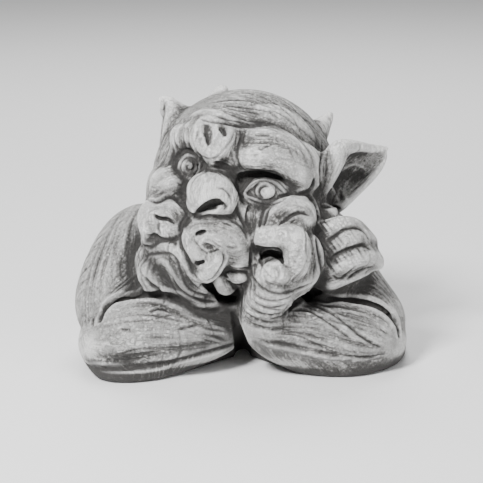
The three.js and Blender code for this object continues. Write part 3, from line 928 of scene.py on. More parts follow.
# The tool marks of the fist and wrist: dents at the knuckles and thumb, and the skin creased in rings
# where the wrist bends.
for line, width, depth in [
    ([(62, 130), (65, 120), (65, 110), (66, 100)], 2.0, 1.8),
    ([(12, 82), (15, 75), (21, 69), (30, 66)], 2.2, 2.0),
    ([(74, 128), (76, 114), (78, 102), (80, 90), (78, 82)], 3.0, 3.4),
    ([(22, 90), (25, 84), (30, 80)], 1.6, 1.4),
    ([(41, 93), (46, 90), (52, 89)], 1.6, 1.2),
    ([(52, 96), (55, 94)], 1.6, 1.6),
    ([(66, 118), (70, 116)], 1.6, 1.6),
    ([(68, 104), (73, 103)], 1.6, 1.6),
    ([(64, 96), (69, 95)], 1.6, 1.4),
    ([(52, 66), (62, 70), (72, 74)], 2.2, 2.2),
    ([(12, 56), (20, 50), (32, 47), (40, 48)], 1.8, 1.8),
    ([(16, 44), (24, 41), (34, 41)], 1.8, 1.8),
    ([(42, 41), (46, 47), (51, 53)], 2.4, 3.0),
]:
    score(line, width, depth)
for line in [
    [(14, 76), (24, 67), (38, 63), (52, 66), (64, 74)],
    [(9, 70), (17, 60), (30, 56), (44, 58), (54, 64)],
    [(6, 63), (14, 54), (26, 49), (40, 51), (50, 57)],
    [(4, 55), (12, 47), (26, 42), (40, 44)],
    [(2, 47), (12, 39), (26, 35), (42, 37)],
    [(2, 39), (14, 32), (32, 28), (50, 31)],
]:
    score(line, width=2.6, depth=2.2, taper=0.4)
comb(
    [
        [(14, 76), (22, 68), (34, 64), (50, 68), (68, 78)],
        [(8, 70), (12, 58), (24, 52), (40, 54), (54, 62)],
        [(2, 60), (3, 48), (14, 40), (32, 38), (46, 42)],
        [(-1, 50), (2, 36), (16, 28), (36, 28), (56, 34)],
    ],
    40, width=2.0, depth=1.5, shortest=0.35, longest=0.9,
)
HAND_WRINKLE_DEPTH = 1.0
for guides, hairs in [
    ([[(16, 131), (15, 121), (17, 112)], [(30, 132), (29, 121), (31, 111)],
      [(44, 132), (43, 121), (43, 110)]], 16),
    ([[(42, 109), (53, 111), (64, 113)], [(42, 99), (54, 98), (65, 101)], [(42, 91), (54, 86), (67, 90)]],
     14),
    ([[(13, 82), (19, 72), (33, 66), (50, 67), (71, 78)],
      [(20, 86), (28, 77), (42, 74), (60, 77), (74, 88)]], 24),
    ([[(68, 128), (67, 114), (68, 100), (72, 88)], [(78, 126), (78, 112), (79, 98), (77, 86)]], 14),
]:
    comb(guides, hairs, WRINKLE_WIDTH, HAND_WRINKLE_DEPTH)

# The tool marks of the gripping hand: the gaps between the fingers, and rings of loose skin across each
# one from the knuckle to the nail.
RING_WANDER = 0.3
RING_WIDTH = 2.0
RING_DEPTHS = (1.0, 1.9)
for line, width, depth in [
    ([(84, 114), (92, 120), (104, 128), (116, 129), (124, 124), (128, 116)], 2.6, 3.2),
    ([(88, 97), (98, 104), (110, 109), (122, 112), (130, 106)], 2.6, 3.2),
    ([(80, 134), (90, 138), (98, 141)], 2.4, 3.0),
    ([(90, 82), (98, 78), (106, 84), (116, 92)], 2.0, 2.4),
    ([(104, 75), (114, 84), (124, 89), (132, 90)], 2.6, 3.0),
    ([(104, 100), (108, 96), (114, 97)], 1.6, 1.8),
    ([(80, 150), (90, 150), (100, 148)], 2.6, 3.2),
]:
    score(line, width, depth)
for start, end, rings in [((80, 128), (104, 138), 8), ((84, 108), (112, 125), 8),
                          ((90, 90), (118, 104), 6)]:
    for i in range(rings):
        part = (i + draw.uniform(-RING_WANDER, RING_WANDER)) / (rings - 1)
        x = start[0] + (end[0] - start[0]) * part
        h = start[1] + (end[1] - start[1]) * part
        score([(x - 6, h + 7), (x - 1, h), (x + 5, h - 8)], RING_WIDTH, draw.uniform(*RING_DEPTHS))
for guides, hairs in [
    ([[(82, 133), (94, 138), (108, 138), (122, 130), (131, 116)],
      [(82, 122), (94, 127), (108, 131), (118, 128), (125, 118)]], 18),
    ([[(84, 116), (96, 123), (110, 128), (120, 126), (130, 116)],
      [(84, 106), (98, 112), (112, 116), (124, 112), (131, 108)]], 18),
    ([[(88, 96), (100, 102), (114, 107), (128, 104), (138, 98)],
      [(88, 84), (100, 89), (114, 92), (128, 94), (138, 88)]], 18),
    ([[(84, 82), (96, 84), (110, 89), (126, 92)], [(84, 70), (96, 73), (112, 80), (128, 86)]], 14),
]:
    comb(guides, hairs, WRINKLE_WIDTH, HAND_WRINKLE_DEPTH)

# The tool marks of the right ear: lines down its broad front edge, ribs and hair inside the cup. The
# left ear has none, as it is only an edge from the front.
EAR_WRINKLE_DEPTH = 0.9
for guides, hairs in [
    ([[(80, 162), (84, 180), (90, 200), (96, 216)],
      [(85, 166), (91, 182), (99, 198), (106, 210), (124, 213), (142, 209)]], 16),
    ([[(87, 158), (93, 172), (103, 186), (120, 197), (140, 203)],
      [(96, 152), (106, 165), (120, 176), (134, 188), (143, 198)]], 32),
]:
    comb(guides, hairs, WRINKLE_WIDTH, EAR_WRINKLE_DEPTH)
for line, width, depth in [
    ([(80, 220), (81, 206), (79, 192), (79, 178), (78, 166)], 2.4, 2.4),
    ([(87, 212), (85, 200), (86, 190), (84, 180)], 2.2, 1.8),
    ([(89, 218), (88, 205), (90, 194), (92, 184)], 1.8, 1.2),
    ([(100, 186), (108, 192), (118, 192), (126, 186)], 3.0, -1.5),
    ([(89, 172), (94, 162), (98, 153)], 2.6, -1.8),
    ([(98, 172), (103, 162), (106, 156)], 2.4, -1.6),
    ([(96, 166), (92, 158), (90, 152)], 1.8, 1.6),
    ([(104, 176), (100, 166), (100, 156)], 1.8, 1.6),
]:
    score(line, width, depth)
comb([[(88, 158), (96, 172), (110, 186), (132, 196)], [(98, 152), (112, 166), (126, 178), (138, 190)]],
     14, width=1.5, depth=1.0)

# The tool marks of the arms: the deep crease between the two halves of each arm, then long combed hair
# down the upper arms and along the forearms, with a few wider locks.
for line, width, depth in [
    ([(-142, 34), (-138, 44), (-130, 52), (-115, 58), (-96, 62), (-78, 62), (-60, 55), (-45, 46),
      (-30, 38)], 6.0, 6.0),
    ([(70, 58), (90, 57), (112, 55), (132, 51), (146, 43), (155, 32), (158, 18)], 5.0, 5.0),
    ([(-122, 28), (-110, 27)], 2.0, 2.2),
    ([(-96, 44), (-82, 48), (-72, 45)], 2.2, 2.2),
    ([(-96, 36), (-80, 40), (-66, 43)], 1.8, 1.6),
    ([(-66, 27), (-52, 30), (-40, 34)], 2.4, 2.4),
    ([(-128, 2), (-100, 8), (-84, 10)], 2.0, 1.6),
    ([(64, 51), (76, 50), (90, 44), (104, 34), (118, 22), (132, 13), (142, 9)], 2.6, 2.8),
    ([(48, 46), (60, 47), (72, 44), (88, 34), (104, 22), (116, 12)], 2.2, 2.2),
    ([(36, 24), (60, 20), (90, 6), (120, 0), (148, 4)], 2.0, 1.6),
    ([(-149, 30), (-148, 40)], 2.0, 2.0),
]:
    score(line, width, depth)
LEFT_UPPER_ARM = [
    [(-96, 150), (-104, 134), (-106, 116), (-108, 100), (-106, 86), (-102, 70)],
    [(-104, 154), (-116, 138), (-122, 118), (-126, 98), (-128, 82), (-120, 64)],
    [(-112, 152), (-126, 136), (-136, 112), (-144, 88), (-148, 64), (-146, 36)],
    [(-120, 146), (-136, 124), (-148, 98), (-156, 72), (-160, 46), (-158, 14)],
]
comb(LEFT_UPPER_ARM, 80, width=2.0, depth=1.1)
comb(LEFT_UPPER_ARM, 26, width=3.6, depth=1.7, shortest=0.4, longest=0.9)
comb([[(-104, 112), (-118, 96), (-132, 78), (-140, 58)],
      [(-100, 84), (-112, 74), (-126, 64), (-138, 52)]], 16, width=1.8, depth=1.7)
LEFT_FOREARM = [
    [(-134, 46), (-112, 54), (-88, 56), (-62, 48), (-38, 38), (-16, 30)],
    [(-142, 30), (-116, 36), (-88, 38), (-60, 32), (-34, 26), (-12, 22)],
    [(-142, 16), (-116, 16), (-88, 18), (-58, 18), (-32, 18), (-10, 16)],
    [(-144, 0), (-116, -2), (-88, 2), (-58, 6), (-30, 10), (-8, 12)],
]
comb(LEFT_FOREARM, 80, width=1.9, depth=0.9)
comb(LEFT_FOREARM, 18, width=3.4, depth=1.3, shortest=0.3)
RIGHT_FOREARM = [
    [(56, 50), (80, 52), (106, 50), (128, 44), (144, 36), (154, 22)],
    [(46, 42), (70, 40), (94, 34), (116, 28), (136, 22), (152, 14)],
    [(4, 32), (24, 26), (56, 26), (82, 20), (106, 12), (130, 8), (152, 8)],
    [(8, 20), (24, 14), (40, 12), (66, 6), (92, 2), (118, 0), (146, 2)],
]
comb(RIGHT_FOREARM, 80, width=1.9, depth=1.0)
comb(RIGHT_FOREARM, 22, width=3.4, depth=1.5, shortest=0.3)
RIGHT_UPPER_ARM = [
    [(106, 62), (120, 64), (134, 60), (146, 52), (154, 38)],
    [(110, 70), (124, 72), (138, 68), (150, 56), (160, 36)],
    [(132, 84), (142, 76), (152, 62), (160, 46), (166, 24)],
]
comb(RIGHT_UPPER_ARM, 34, width=2.0, depth=1.3)
comb(RIGHT_UPPER_ARM, 10, width=3.4, depth=1.6)

# The back and sides are finished plainly: hair combed down from the crown and over the back, a furrow
# down the spine and one under the skull. The model is turned a sixth of a circle at a time.
BEHIND = 180
for turn in (-60, -120, BEHIND, 120, 60):
    comb(
        [
            [(-72, 240), (-78, 210), (-80, 180), (-76, 156)],
            [(-40, 254), (-44, 220), (-44, 186), (-40, 154)],
            [(0, 260), (0, 222), (0, 186), (0, 152)],
            [(40, 254), (44, 220), (44, 186), (40, 154)],
            [(72, 240), (78, 210), (80, 180), (76, 156)],
        ],
        46, width=2.4, depth=1.1, shortest=0.3, turn=turn,
    )
    comb(
        [
            [(-110, 140), (-130, 100), (-140, 60), (-138, 20)],
            [(-60, 146), (-72, 104), (-76, 60), (-72, 12)],
            [(0, 148), (0, 104), (0, 58), (0, 8)],
            [(60, 146), (72, 104), (76, 60), (72, 12)],
            [(110, 140), (130, 100), (140, 60), (138, 20)],
        ],
        50, width=2.6, depth=1.2, shortest=0.3, longest=0.7, turn=turn,
    )
score([(0, 156), (2, 130), (-1, 100), (1, 66), (0, 36)], width=7, depth=2.6, taper=0.3, turn=BEHIND)
score([(-84, 150), (-50, 146), (0, 144), (50, 146), (84, 150)],
      width=6, depth=2.2, taper=0.3, turn=BEHIND)

# The end of the left forearm, where it turns in to the middle, and the foot of the casting: a ragged
# ledge under the forearm where the clay was cut off at the slab.
comb(
    [
        [(-58, 48), (-42, 43), (-27, 39), (-12, 36)],
        [(-60, 36), (-42, 30), (-27, 26), (-12, 22)],
        [(-62, 22), (-44, 16), (-29, 12), (-13, 6)],
    ],
    20, width=1.9, depth=1.5,
)
score([(-158, -5), (-148, -11), (-122, -12), (-92, -9), (-62, -3), (-40, 3), (-20, 9), (-6, 14)],
      width=4.0, depth=2.6)
sunk = places - facing * (groove - burr)[:, None]
gargoyle.data.vertices.foreach_set("co", sunk.ravel())
gargoyle.data.update()

# Painted shade: darkness is put into the stone's colour in soft bands along given lines, thickest where
# deep shadow falls between the forms, a band at a time.
SHADE_PAINT_ROOM = 1.6
SHADE_PAINT_EDGE = 1.2
SHADE_PAINT_CURVE = 1.5
SHADE_PAINT_STEPS = 4


def paint_shade(line, width, amount, turn=0):
    """Paints shade into the colour along a line; an amount below zero paints light instead."""
    path, share = trace(line, turn)
    if path is None:
        return
    near = near_to(path, SHADE_PAINT_ROOM * width)
    if not len(near):
        return
    step = max(1, int(width / SHADE_PAINT_STEPS))
    far = np.sqrt(((places[near][:, None, :] - path[None, ::step, :]) ** 2).sum(2).min(1)) / width
    stain = amount * np.clip(SHADE_PAINT_EDGE - far, 0, 1) ** SHADE_PAINT_CURVE
    painted_shade[near] += stain * np.clip(1 - painted_shade[near], 0, 1) if amount > 0 else stain


# The painted shade lines: round the eyes, nose and mouth, under the chin, between the arms and fingers,
# in the ear, and along the slab.
for line, width, amount in [
    ([(-66, 196), (-60, 205), (-52, 207), (-44, 203), (-38, 195), (-33, 187)], 5, 1.7),
    ([(-61, 164), (-57, 154), (-51, 145), (-42, 141), (-26, 141), (-10, 141)], 4, 1.5),
    ([(-12, 184), (-5, 178), (-2, 170)], 5, 1.5),
    ([(-102, 110), (-96, 115), (-86, 118), (-74, 117), (-63, 119)], 4, 1.4),
    ([(4, 173), (12, 179), (26, 180), (38, 174)], 4, 1.4),
    ([(46, 168), (56, 163), (68, 165), (73, 174)], 4, 1.4),
    ([(-56, 132), (-60, 122), (-59, 112), (-54, 100), (-50, 88)], 3.5, 1.3),
    ([(-108, 62), (-90, 65), (-72, 60), (-56, 54), (-40, 46), (-20, 46)], 6, 1.6),
    ([(-154, -4), (-138, -10), (-114, -12), (-90, -9), (-60, -1), (-36, 8)], 5, 1.4),
    ([(-110, 62), (-92, 66), (-74, 62), (-60, 56), (-46, 48), (-30, 44), (-14, 46)], 9, 0.8),
    ([(-14, 46), (-6, 36), (0, 24), (2, 8), (2, -6)], 15, 1.0),
    ([(-34, 12), (-18, 10), (-2, 12), (18, 8), (34, 2)], 11, 0.8),
    ([(-30, 62), (-16, 56), (-4, 56), (-2, 66)], 8, 0.9),
    ([(46, 46), (54, 54), (64, 60), (76, 64), (92, 60)], 9, 0.9),
    ([(-3, 176), (8, 184), (22, 184), (36, 180), (46, 172)], 6, 0.8),
    ([(-68, 194), (-62, 204), (-52, 208), (-42, 203), (-36, 194), (-32, 187)], 7, 0.9),
    ([(-59, 197), (-52, 200), (-45, 195), (-44, 187), (-50, 181), (-59, 183), (-62, 190)], 4, 0.8),
    ([(-51, 191), (-49, 189)], 8, 0.6),
    ([(-58, 192), (-52, 200), (-44, 192), (-50, 182)], 8, 0.5),
    ([(12, 160), (20, 156), (30, 156), (38, 161), (40, 169)], 3, 0.5),
    ([(20, 168), (24, 164), (28, 168)], 9, 0.45),
    ([(4, 163), (14, 173), (28, 176), (42, 166)], 4, 0.4),
    ([(-94, 94), (-80, 86), (-66, 76), (-54, 66)], 12, 0.8),
    ([(-100, 78), (-84, 68), (-68, 58), (-48, 54)], 9, 0.8),
    ([(-18, 80), (-14, 70), (-8, 64)], 9, 0.5),
    ([(-8, 80), (2, 81)], 7, 0.45),
    ([(-146, 4), (-120, 0), (-90, 3), (-60, 8), (-34, 16)], 9, 0.55),
    ([(30, 8), (60, 0), (100, -6), (140, -2)], 9, 0.55),
    ([(102, 198), (110, 203), (122, 203)], 5, 0.9),
    ([(48, 164), (44, 170), (38, 176)], 4, 0.5),
    ([(-6, 178), (-4, 168), (0, 160)], 5, 0.5),
    ([(98, 184), (106, 180), (114, 178)], 7, 0.5),
    ([(-46, 176), (-50, 164), (-48, 152)], 5, 0.3),
    ([(-10, 168), (-8, 156), (-12, 146)], 5, 0.35),
    ([(-40, 150), (-30, 156), (-18, 158)], 6, 0.4),
    ([(-24, 178), (-14, 172), (-10, 164)], 6, 0.35),
    ([(-28, 168), (-18, 168), (-12, 162)], 4, 0.3),
    ([(84, 111), (98, 119), (112, 123), (122, 119)], 5, 0.35),
    ([(88, 94), (102, 101), (116, 106), (128, 103)], 5, 0.35),
    ([(90, 78), (104, 80), (120, 90), (132, 93)], 5, 0.35),
    ([(-30, 45), (-16, 37), (-7, 24)], 9, 0.8),
    ([(-22, 20), (-14, 12), (-8, 4)], 10, 0.8),
    ([(-60, 198), (-52, 203), (-43, 198)], 5, 0.6),
    ([(-60, 184), (-52, 180), (-43, 184), (-38, 192)], 6, 0.6),
    ([(-52, 191), (-50, 190)], 13, 0.9),
    ([(-66, 190), (-62, 200), (-52, 205), (-42, 200), (-37, 190)], 5, 0.7),
    ([(-40, 190), (-34, 188), (-28, 188)], 6, 0.7),
    ([(-26, 190), (-14, 189), (-6, 183)], 6, 0.2),
    ([(-52, 176), (-56, 168), (-58, 158)], 6, 0.6),
    ([(-24, 156), (-14, 150), (-10, 144)], 7, 0.4),
    ([(-44, 150), (-50, 160)], 6, 0.3),
    ([(2, 172), (10, 179), (24, 181), (38, 176)], 6, 0.8),
    ([(1, 162), (9, 171), (18, 176), (29, 175.5), (39, 170), (47, 162)], 5, 0.7),
    ([(1, 162), (10, 158), (22, 154.5), (34, 156), (47, 162)], 5, 0.5),
    ([(0, 157), (10, 153), (22, 150), (36, 151), (50, 159)], 4, 0.3),
    ([(8, 170), (20, 174), (34, 172)], 5, 0.5),
    ([(22, 166), (26, 166)], 12, 0.35),
    ([(4, 160), (14, 154), (28, 151), (42, 155)], 5, 0.5),
    ([(-88, 94), (-76, 84), (-64, 72)], 13, 0.35),
    ([(-72, 96), (-64, 84), (-54, 70)], 8, 0.3),
    ([(-54, 160), (-50, 148), (-42, 142)], 7, 0.4),
    ([(8, 6), (16, 12), (24, 3)], 10, 1.0),
    ([(-66, 182), (-56, 176), (-46, 177)], 5, 0.4),
    ([(-14, 190), (-6, 184), (-2, 174), (-3, 162)], 6, 0.4),
    ([(-62, 168), (-57, 156), (-51, 145), (-40, 141), (-24, 141), (-8, 140), (-3, 150)], 5, 0.6),
    ([(-104, 108), (-98, 114), (-86, 118), (-74, 116), (-62, 118), (-58, 110)], 6, 0.6),
    ([(-100, 92), (-98, 78), (-92, 68)], 9, 0.6),
    ([(10, 108), (10, 96), (12, 84)], 6, 0.5),
    ([(104, 200), (118, 202), (132, 200)], 6, 0.5),
    ([(94, 176), (106, 182), (120, 180)], 9, 0.6),
    ([(86, 168), (90, 158), (96, 150)], 7, 0.45),
    ([(78, 148), (90, 150), (100, 150)], 5, 0.6),
    ([(76, 130), (78, 112), (81, 96), (80, 80), (84, 70)], 7, 0.6),
    ([(100, 66), (118, 72), (134, 80)], 8, 0.6),
    ([(84, 62), (108, 60), (130, 54)], 6, 0.5),
    ([(74, 180), (71, 170), (62, 164), (52, 164)], 5, 0.6),
    ([(-104, 140), (-106, 120), (-108, 100), (-108, 80), (-100, 68)], 9, 0.45),
    ([(-30, 42), (-20, 42), (-10, 40)], 8, 0.5),
    ([(-30, 28), (-18, 32), (-8, 26)], 10, 0.5),
    ([(-140, 42), (-130, 52), (-112, 60), (-94, 63)], 6, 0.5),
    ([(30, 26), (50, 20), (80, 8), (110, 2), (140, 2), (158, 8)], 8, 0.25),
    ([(40, 10), (62, 2), (88, -4), (114, -4), (142, -1)], 7, 0.5),
    ([(-156, -2), (-140, -9), (-116, -11), (-90, -8), (-60, 0), (-36, 8)], 7, 0.7),
    ([(34, 4), (60, -4), (88, -9), (116, -9), (146, -5), (160, 0)], 7, 0.6),
]:
    paint_shade(line, width, amount)
# Painted light: the colour is made lighter again over the crown and arms, in the ear's cup where the
# rim's
# # shadow falls, and between the brows.
for line, width, amount in [
    ([(-44, 250), (0, 254), (40, 242), (70, 214)], 22, -0.4),
    ([(-118, 130), (-138, 90), (-150, 50)], 22, -0.4),
    ([(-124, 30), (-64, 30)], 18, -0.12),
    ([(60, 30), (130, 30)], 18, -0.12),
    ([(6, 164), (12, 168), (14, 163)], 4, -0.5),
    ([(98, 158), (106, 172), (118, 186), (130, 196), (138, 200)], 13, -0.9),
    ([(132, 200), (137, 195), (133, 187), (122, 177), (108, 162)], 8, -0.8),
    ([(90, 168), (96, 158), (100, 152)], 5, -0.35),
    ([(-14, 204), (-9, 200), (-8, 195)], 8, -1.0),
]:
    paint_shade(line, width, amount)

# How dark the stone is at each place comes from the black wash in the tool marks and from painted shade:
# # the painted shade lines above, the hollows near by, which take both the wash and painted shade, and
# how
# # little sky the place sees. The raised crests are painted lighter, a painted highlight.
edges = np.empty(2 * len(gargoyle.data.edges), dtype=np.int64)
gargoyle.data.edges.foreach_get("vertices", edges)
edges = edges.reshape(-1, 2)
ends = np.concatenate([edges[:, 0], edges[:, 1]])
others = np.concatenate([edges[:, 1], edges[:, 0]])
links = np.bincount(ends, minlength=count)
KEPT = 0.3
PULLED = 0.7


def rubbed(values, times):
    """Each value averaged with its neighbours' along the skin, several times over."""
    for _ in range(times):
        axes = range(values.shape[1])
        pulled = [np.bincount(ends, weights=values[others, axis], minlength=count) for axis in axes]
        values = KEPT * values + PULLED * np.column_stack(pulled) / links[:, None]
    return values


gargoyle.data.vertices.foreach_get("normal", facing.reshape(-1))
facing = facing.reshape(-1, 3)
FACING_RUBS = 6
FINE_RUBS = 4
NEAR_RUBS = 14
FAR_RUBS = 60
smooth_facing = rubbed(facing, FACING_RUBS)
smooth_facing /= np.linalg.norm(smooth_facing, axis=1)[:, None]
fine_skin = rubbed(sunk, FINE_RUBS)
near_skin = rubbed(fine_skin, NEAR_RUBS)
far_skin = rubbed(near_skin, FAR_RUBS)
fine_hollow = ((fine_skin - sunk) * smooth_facing).sum(1)
near_hollow = ((near_skin - fine_skin) * smooth_facing).sum(1)
far_hollow = ((far_skin - near_skin) * smooth_facing).sum(1)

# Painted shade from occlusion: rays cast out from each point of a coarse copy of the skin find how little
# open sky it sees, and the more it is shut in, the darker it is painted.
coarse = gargoyle.copy()
coarse.data = gargoyle.data.copy()
bpy.context.scene.collection.objects.link(coarse)
SKY_GRAIN = 3.5
SKY_REACH = 70
SKY_LOOKS = 24
SKY_CLEARANCE = 2.5
SKY_RUBS = 8
GOLDEN_TURN = math.pi * (3 - math.sqrt(5))
fuse(coarse, SKY_GRAIN, 0)
shelter = surface_of(coarse)
looks = []
for i in range(SKY_LOOKS):
    rise = (i + 0.5) / SKY_LOOKS
    spin = i * GOLDEN_TURN
    wide = math.sqrt(rise)
    looks.append(Vector((wide * math.cos(spin), wide * math.sin(spin), math.sqrt(1 - rise))))
covered = []
posts = KDTree(len(coarse.data.vertices))
for i, vert in enumerate(coarse.data.vertices):
    posts.insert(vert.co, i)
    turn_out = vert.normal.to_track_quat("Z", "X")
    start = vert.co + SKY_CLEARANCE * vert.normal
    struck = 0
    for look in looks:
        reached = shelter.ray_cast(start, turn_out @ look, SKY_REACH)[3]
        if reached is not None:
            struck += 1 - reached / SKY_REACH
    covered.append(struck / SKY_LOOKS)
posts.balance()
occlusion_shade = np.array([[covered[posts.find(place)[1]]] for place in sunk])
occlusion_shade = rubbed(occlusion_shade, SKY_RUBS)[:, 0]
bpy.data.objects.remove(coarse)


def step_up(values, low, high):
    """0 below low, 1 above high, and a smooth rise between."""
    share = np.clip((values - low) / (high - low), 0, 1)
    return share * share * (3 - 2 * share)


WASH_EVERYWHERE = 0.02
PAINTED_SHADE_SHARE = 0.6
OCCLUSION_SHADE_SHARE = 0.62
OCCLUSION_SHADE_FROM = 0.03
OCCLUSION_SHADE_TO = 0.62
HALO_RUBS = 12
HAZE_RUBS = 50
PLACE_SHARE = 0.5
HALO_SHARE = 0.46
HAZE_SHARE = 0.6
WIPED = 0.04
SLAB_DARKNESS = 0.92
SLAB_EDGE = 12.5
SLAB_FADE = 3
# A little black wash everywhere, plus the painted shade lines.
wash = WASH_EVERYWHERE + PAINTED_SHADE_SHARE * painted_shade
# The hollows at three scales darken the colour, both black wash and painted shade, and raised places come
# out a little lighter; the cut grooves hold the black wash.
for hollow_by, full, least, share in [
    (fine_hollow, 0.3, -0.6, 0.27),
    (near_hollow, 0.6, -0.5, 0.34),
    (far_hollow, 1.6, -0.3, 0.38),
    (groove, 1.7, 0, 0.46),
]:
    wash += share * np.clip(hollow_by / full, least, 1)
# Painted shade where the skin sees little sky.
wash += OCCLUSION_SHADE_SHARE * step_up(occlusion_shade, OCCLUSION_SHADE_FROM, OCCLUSION_SHADE_TO)
wash = np.clip(wash, 0, 1)
# The darkness is spread out from the creases in a soft halo and a broad haze, a painted shade that fades
# over the forms.
halo = rubbed(wash[:, None], HALO_RUBS)
haze = rubbed(halo, HAZE_RUBS)[:, 0]
wash = PLACE_SHARE * wash + HALO_SHARE * halo[:, 0] + HAZE_SHARE * haze - WIPED
# The sides of the slab are made nearly black up to about 10 mm, fading out by 12.5 mm.
slab_face = step_up(-sunk[:, 2], -SLAB_EDGE, -SLAB_EDGE + SLAB_FADE)
wash = np.clip(np.maximum(wash, SLAB_DARKNESS * slab_face), 0, 1)
# Painted highlight: the raised crests, at three scales, are made lighter, but not on the slab nor where
# the colour is dark.
worn = 0
for hollow_by, least, full, share in [
    (fine_hollow, 0.03, 0.3, 0.3),
    (near_hollow, 0.0, 0.4, 0.5),
    (far_hollow, 0.1, 0.9, 0.55),
]:
    worn += share * step_up(-hollow_by, least, full)
worn = np.clip(worn, 0, 1) * (1 - slab_face) * (1 - wash)


def keep_on_skin(piece, **layers):
    """Keeps values of the skin as attributes of the piece."""
    for name, values in layers.items():
        layer = piece.data.attributes.new(name, "FLOAT", "POINT")
        layer.data.foreach_set("value", np.array(values, np.float32))


keep_on_skin(gargoyle, wash=wash, worn=worn)
MOST_TRIANGLES = 190000
thinned = gargoyle.modifiers.new("thinned", "DECIMATE")
thinned.ratio = min(1, MOST_TRIANGLES / (2 * len(gargoyle.data.polygons)))
apply_modifiers(gargoyle)

# The finest scratches of the brush and comb are too small to cut in the clay. Each place on the skin
# takes the lie of the combed lines near it, and the stone's pattern follows that.
LIE_REACH = 9
LIE_NEIGHBOURS = 8
LIE_BLEND = 4
LEAST_WEIGHT = 1e-9
FAMILY_SHIFT = 31
COMBED_FADE = 1.5
posts = KDTree(len(lie_places))
for i, place in enumerate(lie_places):
    posts.insert(place, i)
posts.balance()
across, along, combed = [], [], []
for vert in gargoyle.data.vertices:
    found = posts.find_n(vert.co, LIE_NEIGHBOURS)
    family = lie_values[found[0][1]][2]
    kin = [(i, gap) for _, i, gap in found if lie_values[i][2] == family]
    weights = [math.exp(-((gap / LIE_BLEND) ** 2)) + LEAST_WEIGHT for _, gap in kin]
    lies = [sum(part * lie_values[i][axis] for part, (i, _) in zip(weights, kin)) for axis in (0, 1)]
    across.append(lies[0] / sum(weights) + FAMILY_SHIFT * family)
    along.append(lies[1] / sum(weights))
    combed.append(min(max(COMBED_FADE - COMBED_FADE * found[0][2] / LIE_REACH, 0), 1))
keep_on_skin(gargoyle, across=across, along=along, combed=combed)

# The underside is cast flat, against the bottom board of the mould. The model, in millimetres so far, is
# cut level there, brought to metres and set down over the frame's middle.
MM = 0.001
FOOT_LEVEL = 0.2
under = bmesh.new()
under.from_mesh(gargoyle.data)
bmesh.ops.bisect_plane(
    under,
    geom=under.verts[:] + under.edges[:] + under.faces[:],
    plane_co=(0, 0, FOOT_LEVEL),
    plane_no=(0, 0, -1),
    clear_outer=True,
)
rim = [edge for edge in under.edges if edge.is_boundary]
bmesh.ops.contextual_create(under, geom=rim)
bmesh.ops.triangulate(under, faces=under.faces[:])
under.to_mesh(gargoyle.data)
under.free()
places = np.array([vert.co for vert in gargoyle.data.vertices])
model_middle = (places.max(0) + places.min(0)) / 2
frame_middle = (cad_low + cad_high) / 2 / MM
SET_DOWN = Vector((frame_middle.x - model_middle[0], frame_middle.y - model_middle[1], 0))
gargoyle.data.transform(Matrix.Scale(MM, 4) @ Matrix.Translation(SET_DOWN))
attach(gargoyle, "root")
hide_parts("gargoyle")

# The stone: reconstituted stone, a pale warm grey mix of fine sand and cement cast solid in a mould.
# # The black wash lies in the tool marks, and a little of it stays as a stain in the pores of the faces.
# # The same dark colours also carry painted shade in the creases and hollows.
PALE_STONE = (0.48, 0.476, 0.464, 1)
# The near-white of the painted highlight on the crests.
HIGHLIGHT_STONE = (0.95, 0.945, 0.93, 1)
# Greys down to black, for the black wash and painted shade together.
STAINED_AND_SHADED_STONE = (0.255, 0.25, 0.242, 1)
DARK_STONE = (0.09, 0.087, 0.083, 1)
BLACK_WASH_AND_SHADE = (0.038, 0.036, 0.034, 1)
stone = bpy.data.materials.new("cast_stone")
stone.use_nodes = True
mix_of = stone.node_tree


def part_of(kind, **settings):
    """A node of the stone's mix, with its settings."""
    made = mix_of.nodes.new(kind)
    for name, value in settings.items():
        setattr(made, name, value)
    return made


def feed(source, target, socket):
    """Joins an output to an input."""
    mix_of.links.new(source, target.inputs[socket])


def grain_of(scale, detail, roughness):
    """A noise pattern on the stone, with so many grains to the metre."""
    made = part_of("ShaderNodeTexNoise")
    made.inputs["Scale"].default_value = scale
    made.inputs["Detail"].default_value = detail
    made.inputs["Roughness"].default_value = roughness
    feed(seat_of_grain.outputs["Object"], made, "Vector")
    return made.outputs["Fac"]


def weighed(source, low, high, to_low, to_high):
    """A value carried from one range to another, held at its ends."""
    made = part_of("ShaderNodeMapRange")
    for socket, value in (("From Min", low), ("From Max", high), ("To Min", to_low), ("To Max", to_high)):
        made.inputs[socket].default_value = value
    feed(source, made, "Value")
    return made.outputs["Result"]


def added(first, second, kind="ADD"):
    """Two values added, or joined in another way."""
    made = part_of("ShaderNodeMath", operation=kind)
    feed(first, made, 0)
    if isinstance(second, (int, float)):
        made.inputs[1].default_value = second
    else:
        feed(second, made, 1)
    return made.outputs["Value"]


def tinted(share, first, second, kind="MIX"):
    """Two colours mixed."""
    made = part_of("ShaderNodeMix", data_type="RGBA", blend_type=kind)
    for value, socket in ((share, 0), (first, 6), (second, 7)):
        if hasattr(value, "links"):
            feed(value, made, socket)
        else:
            made.inputs[socket].default_value = value
    return made.outputs[2]


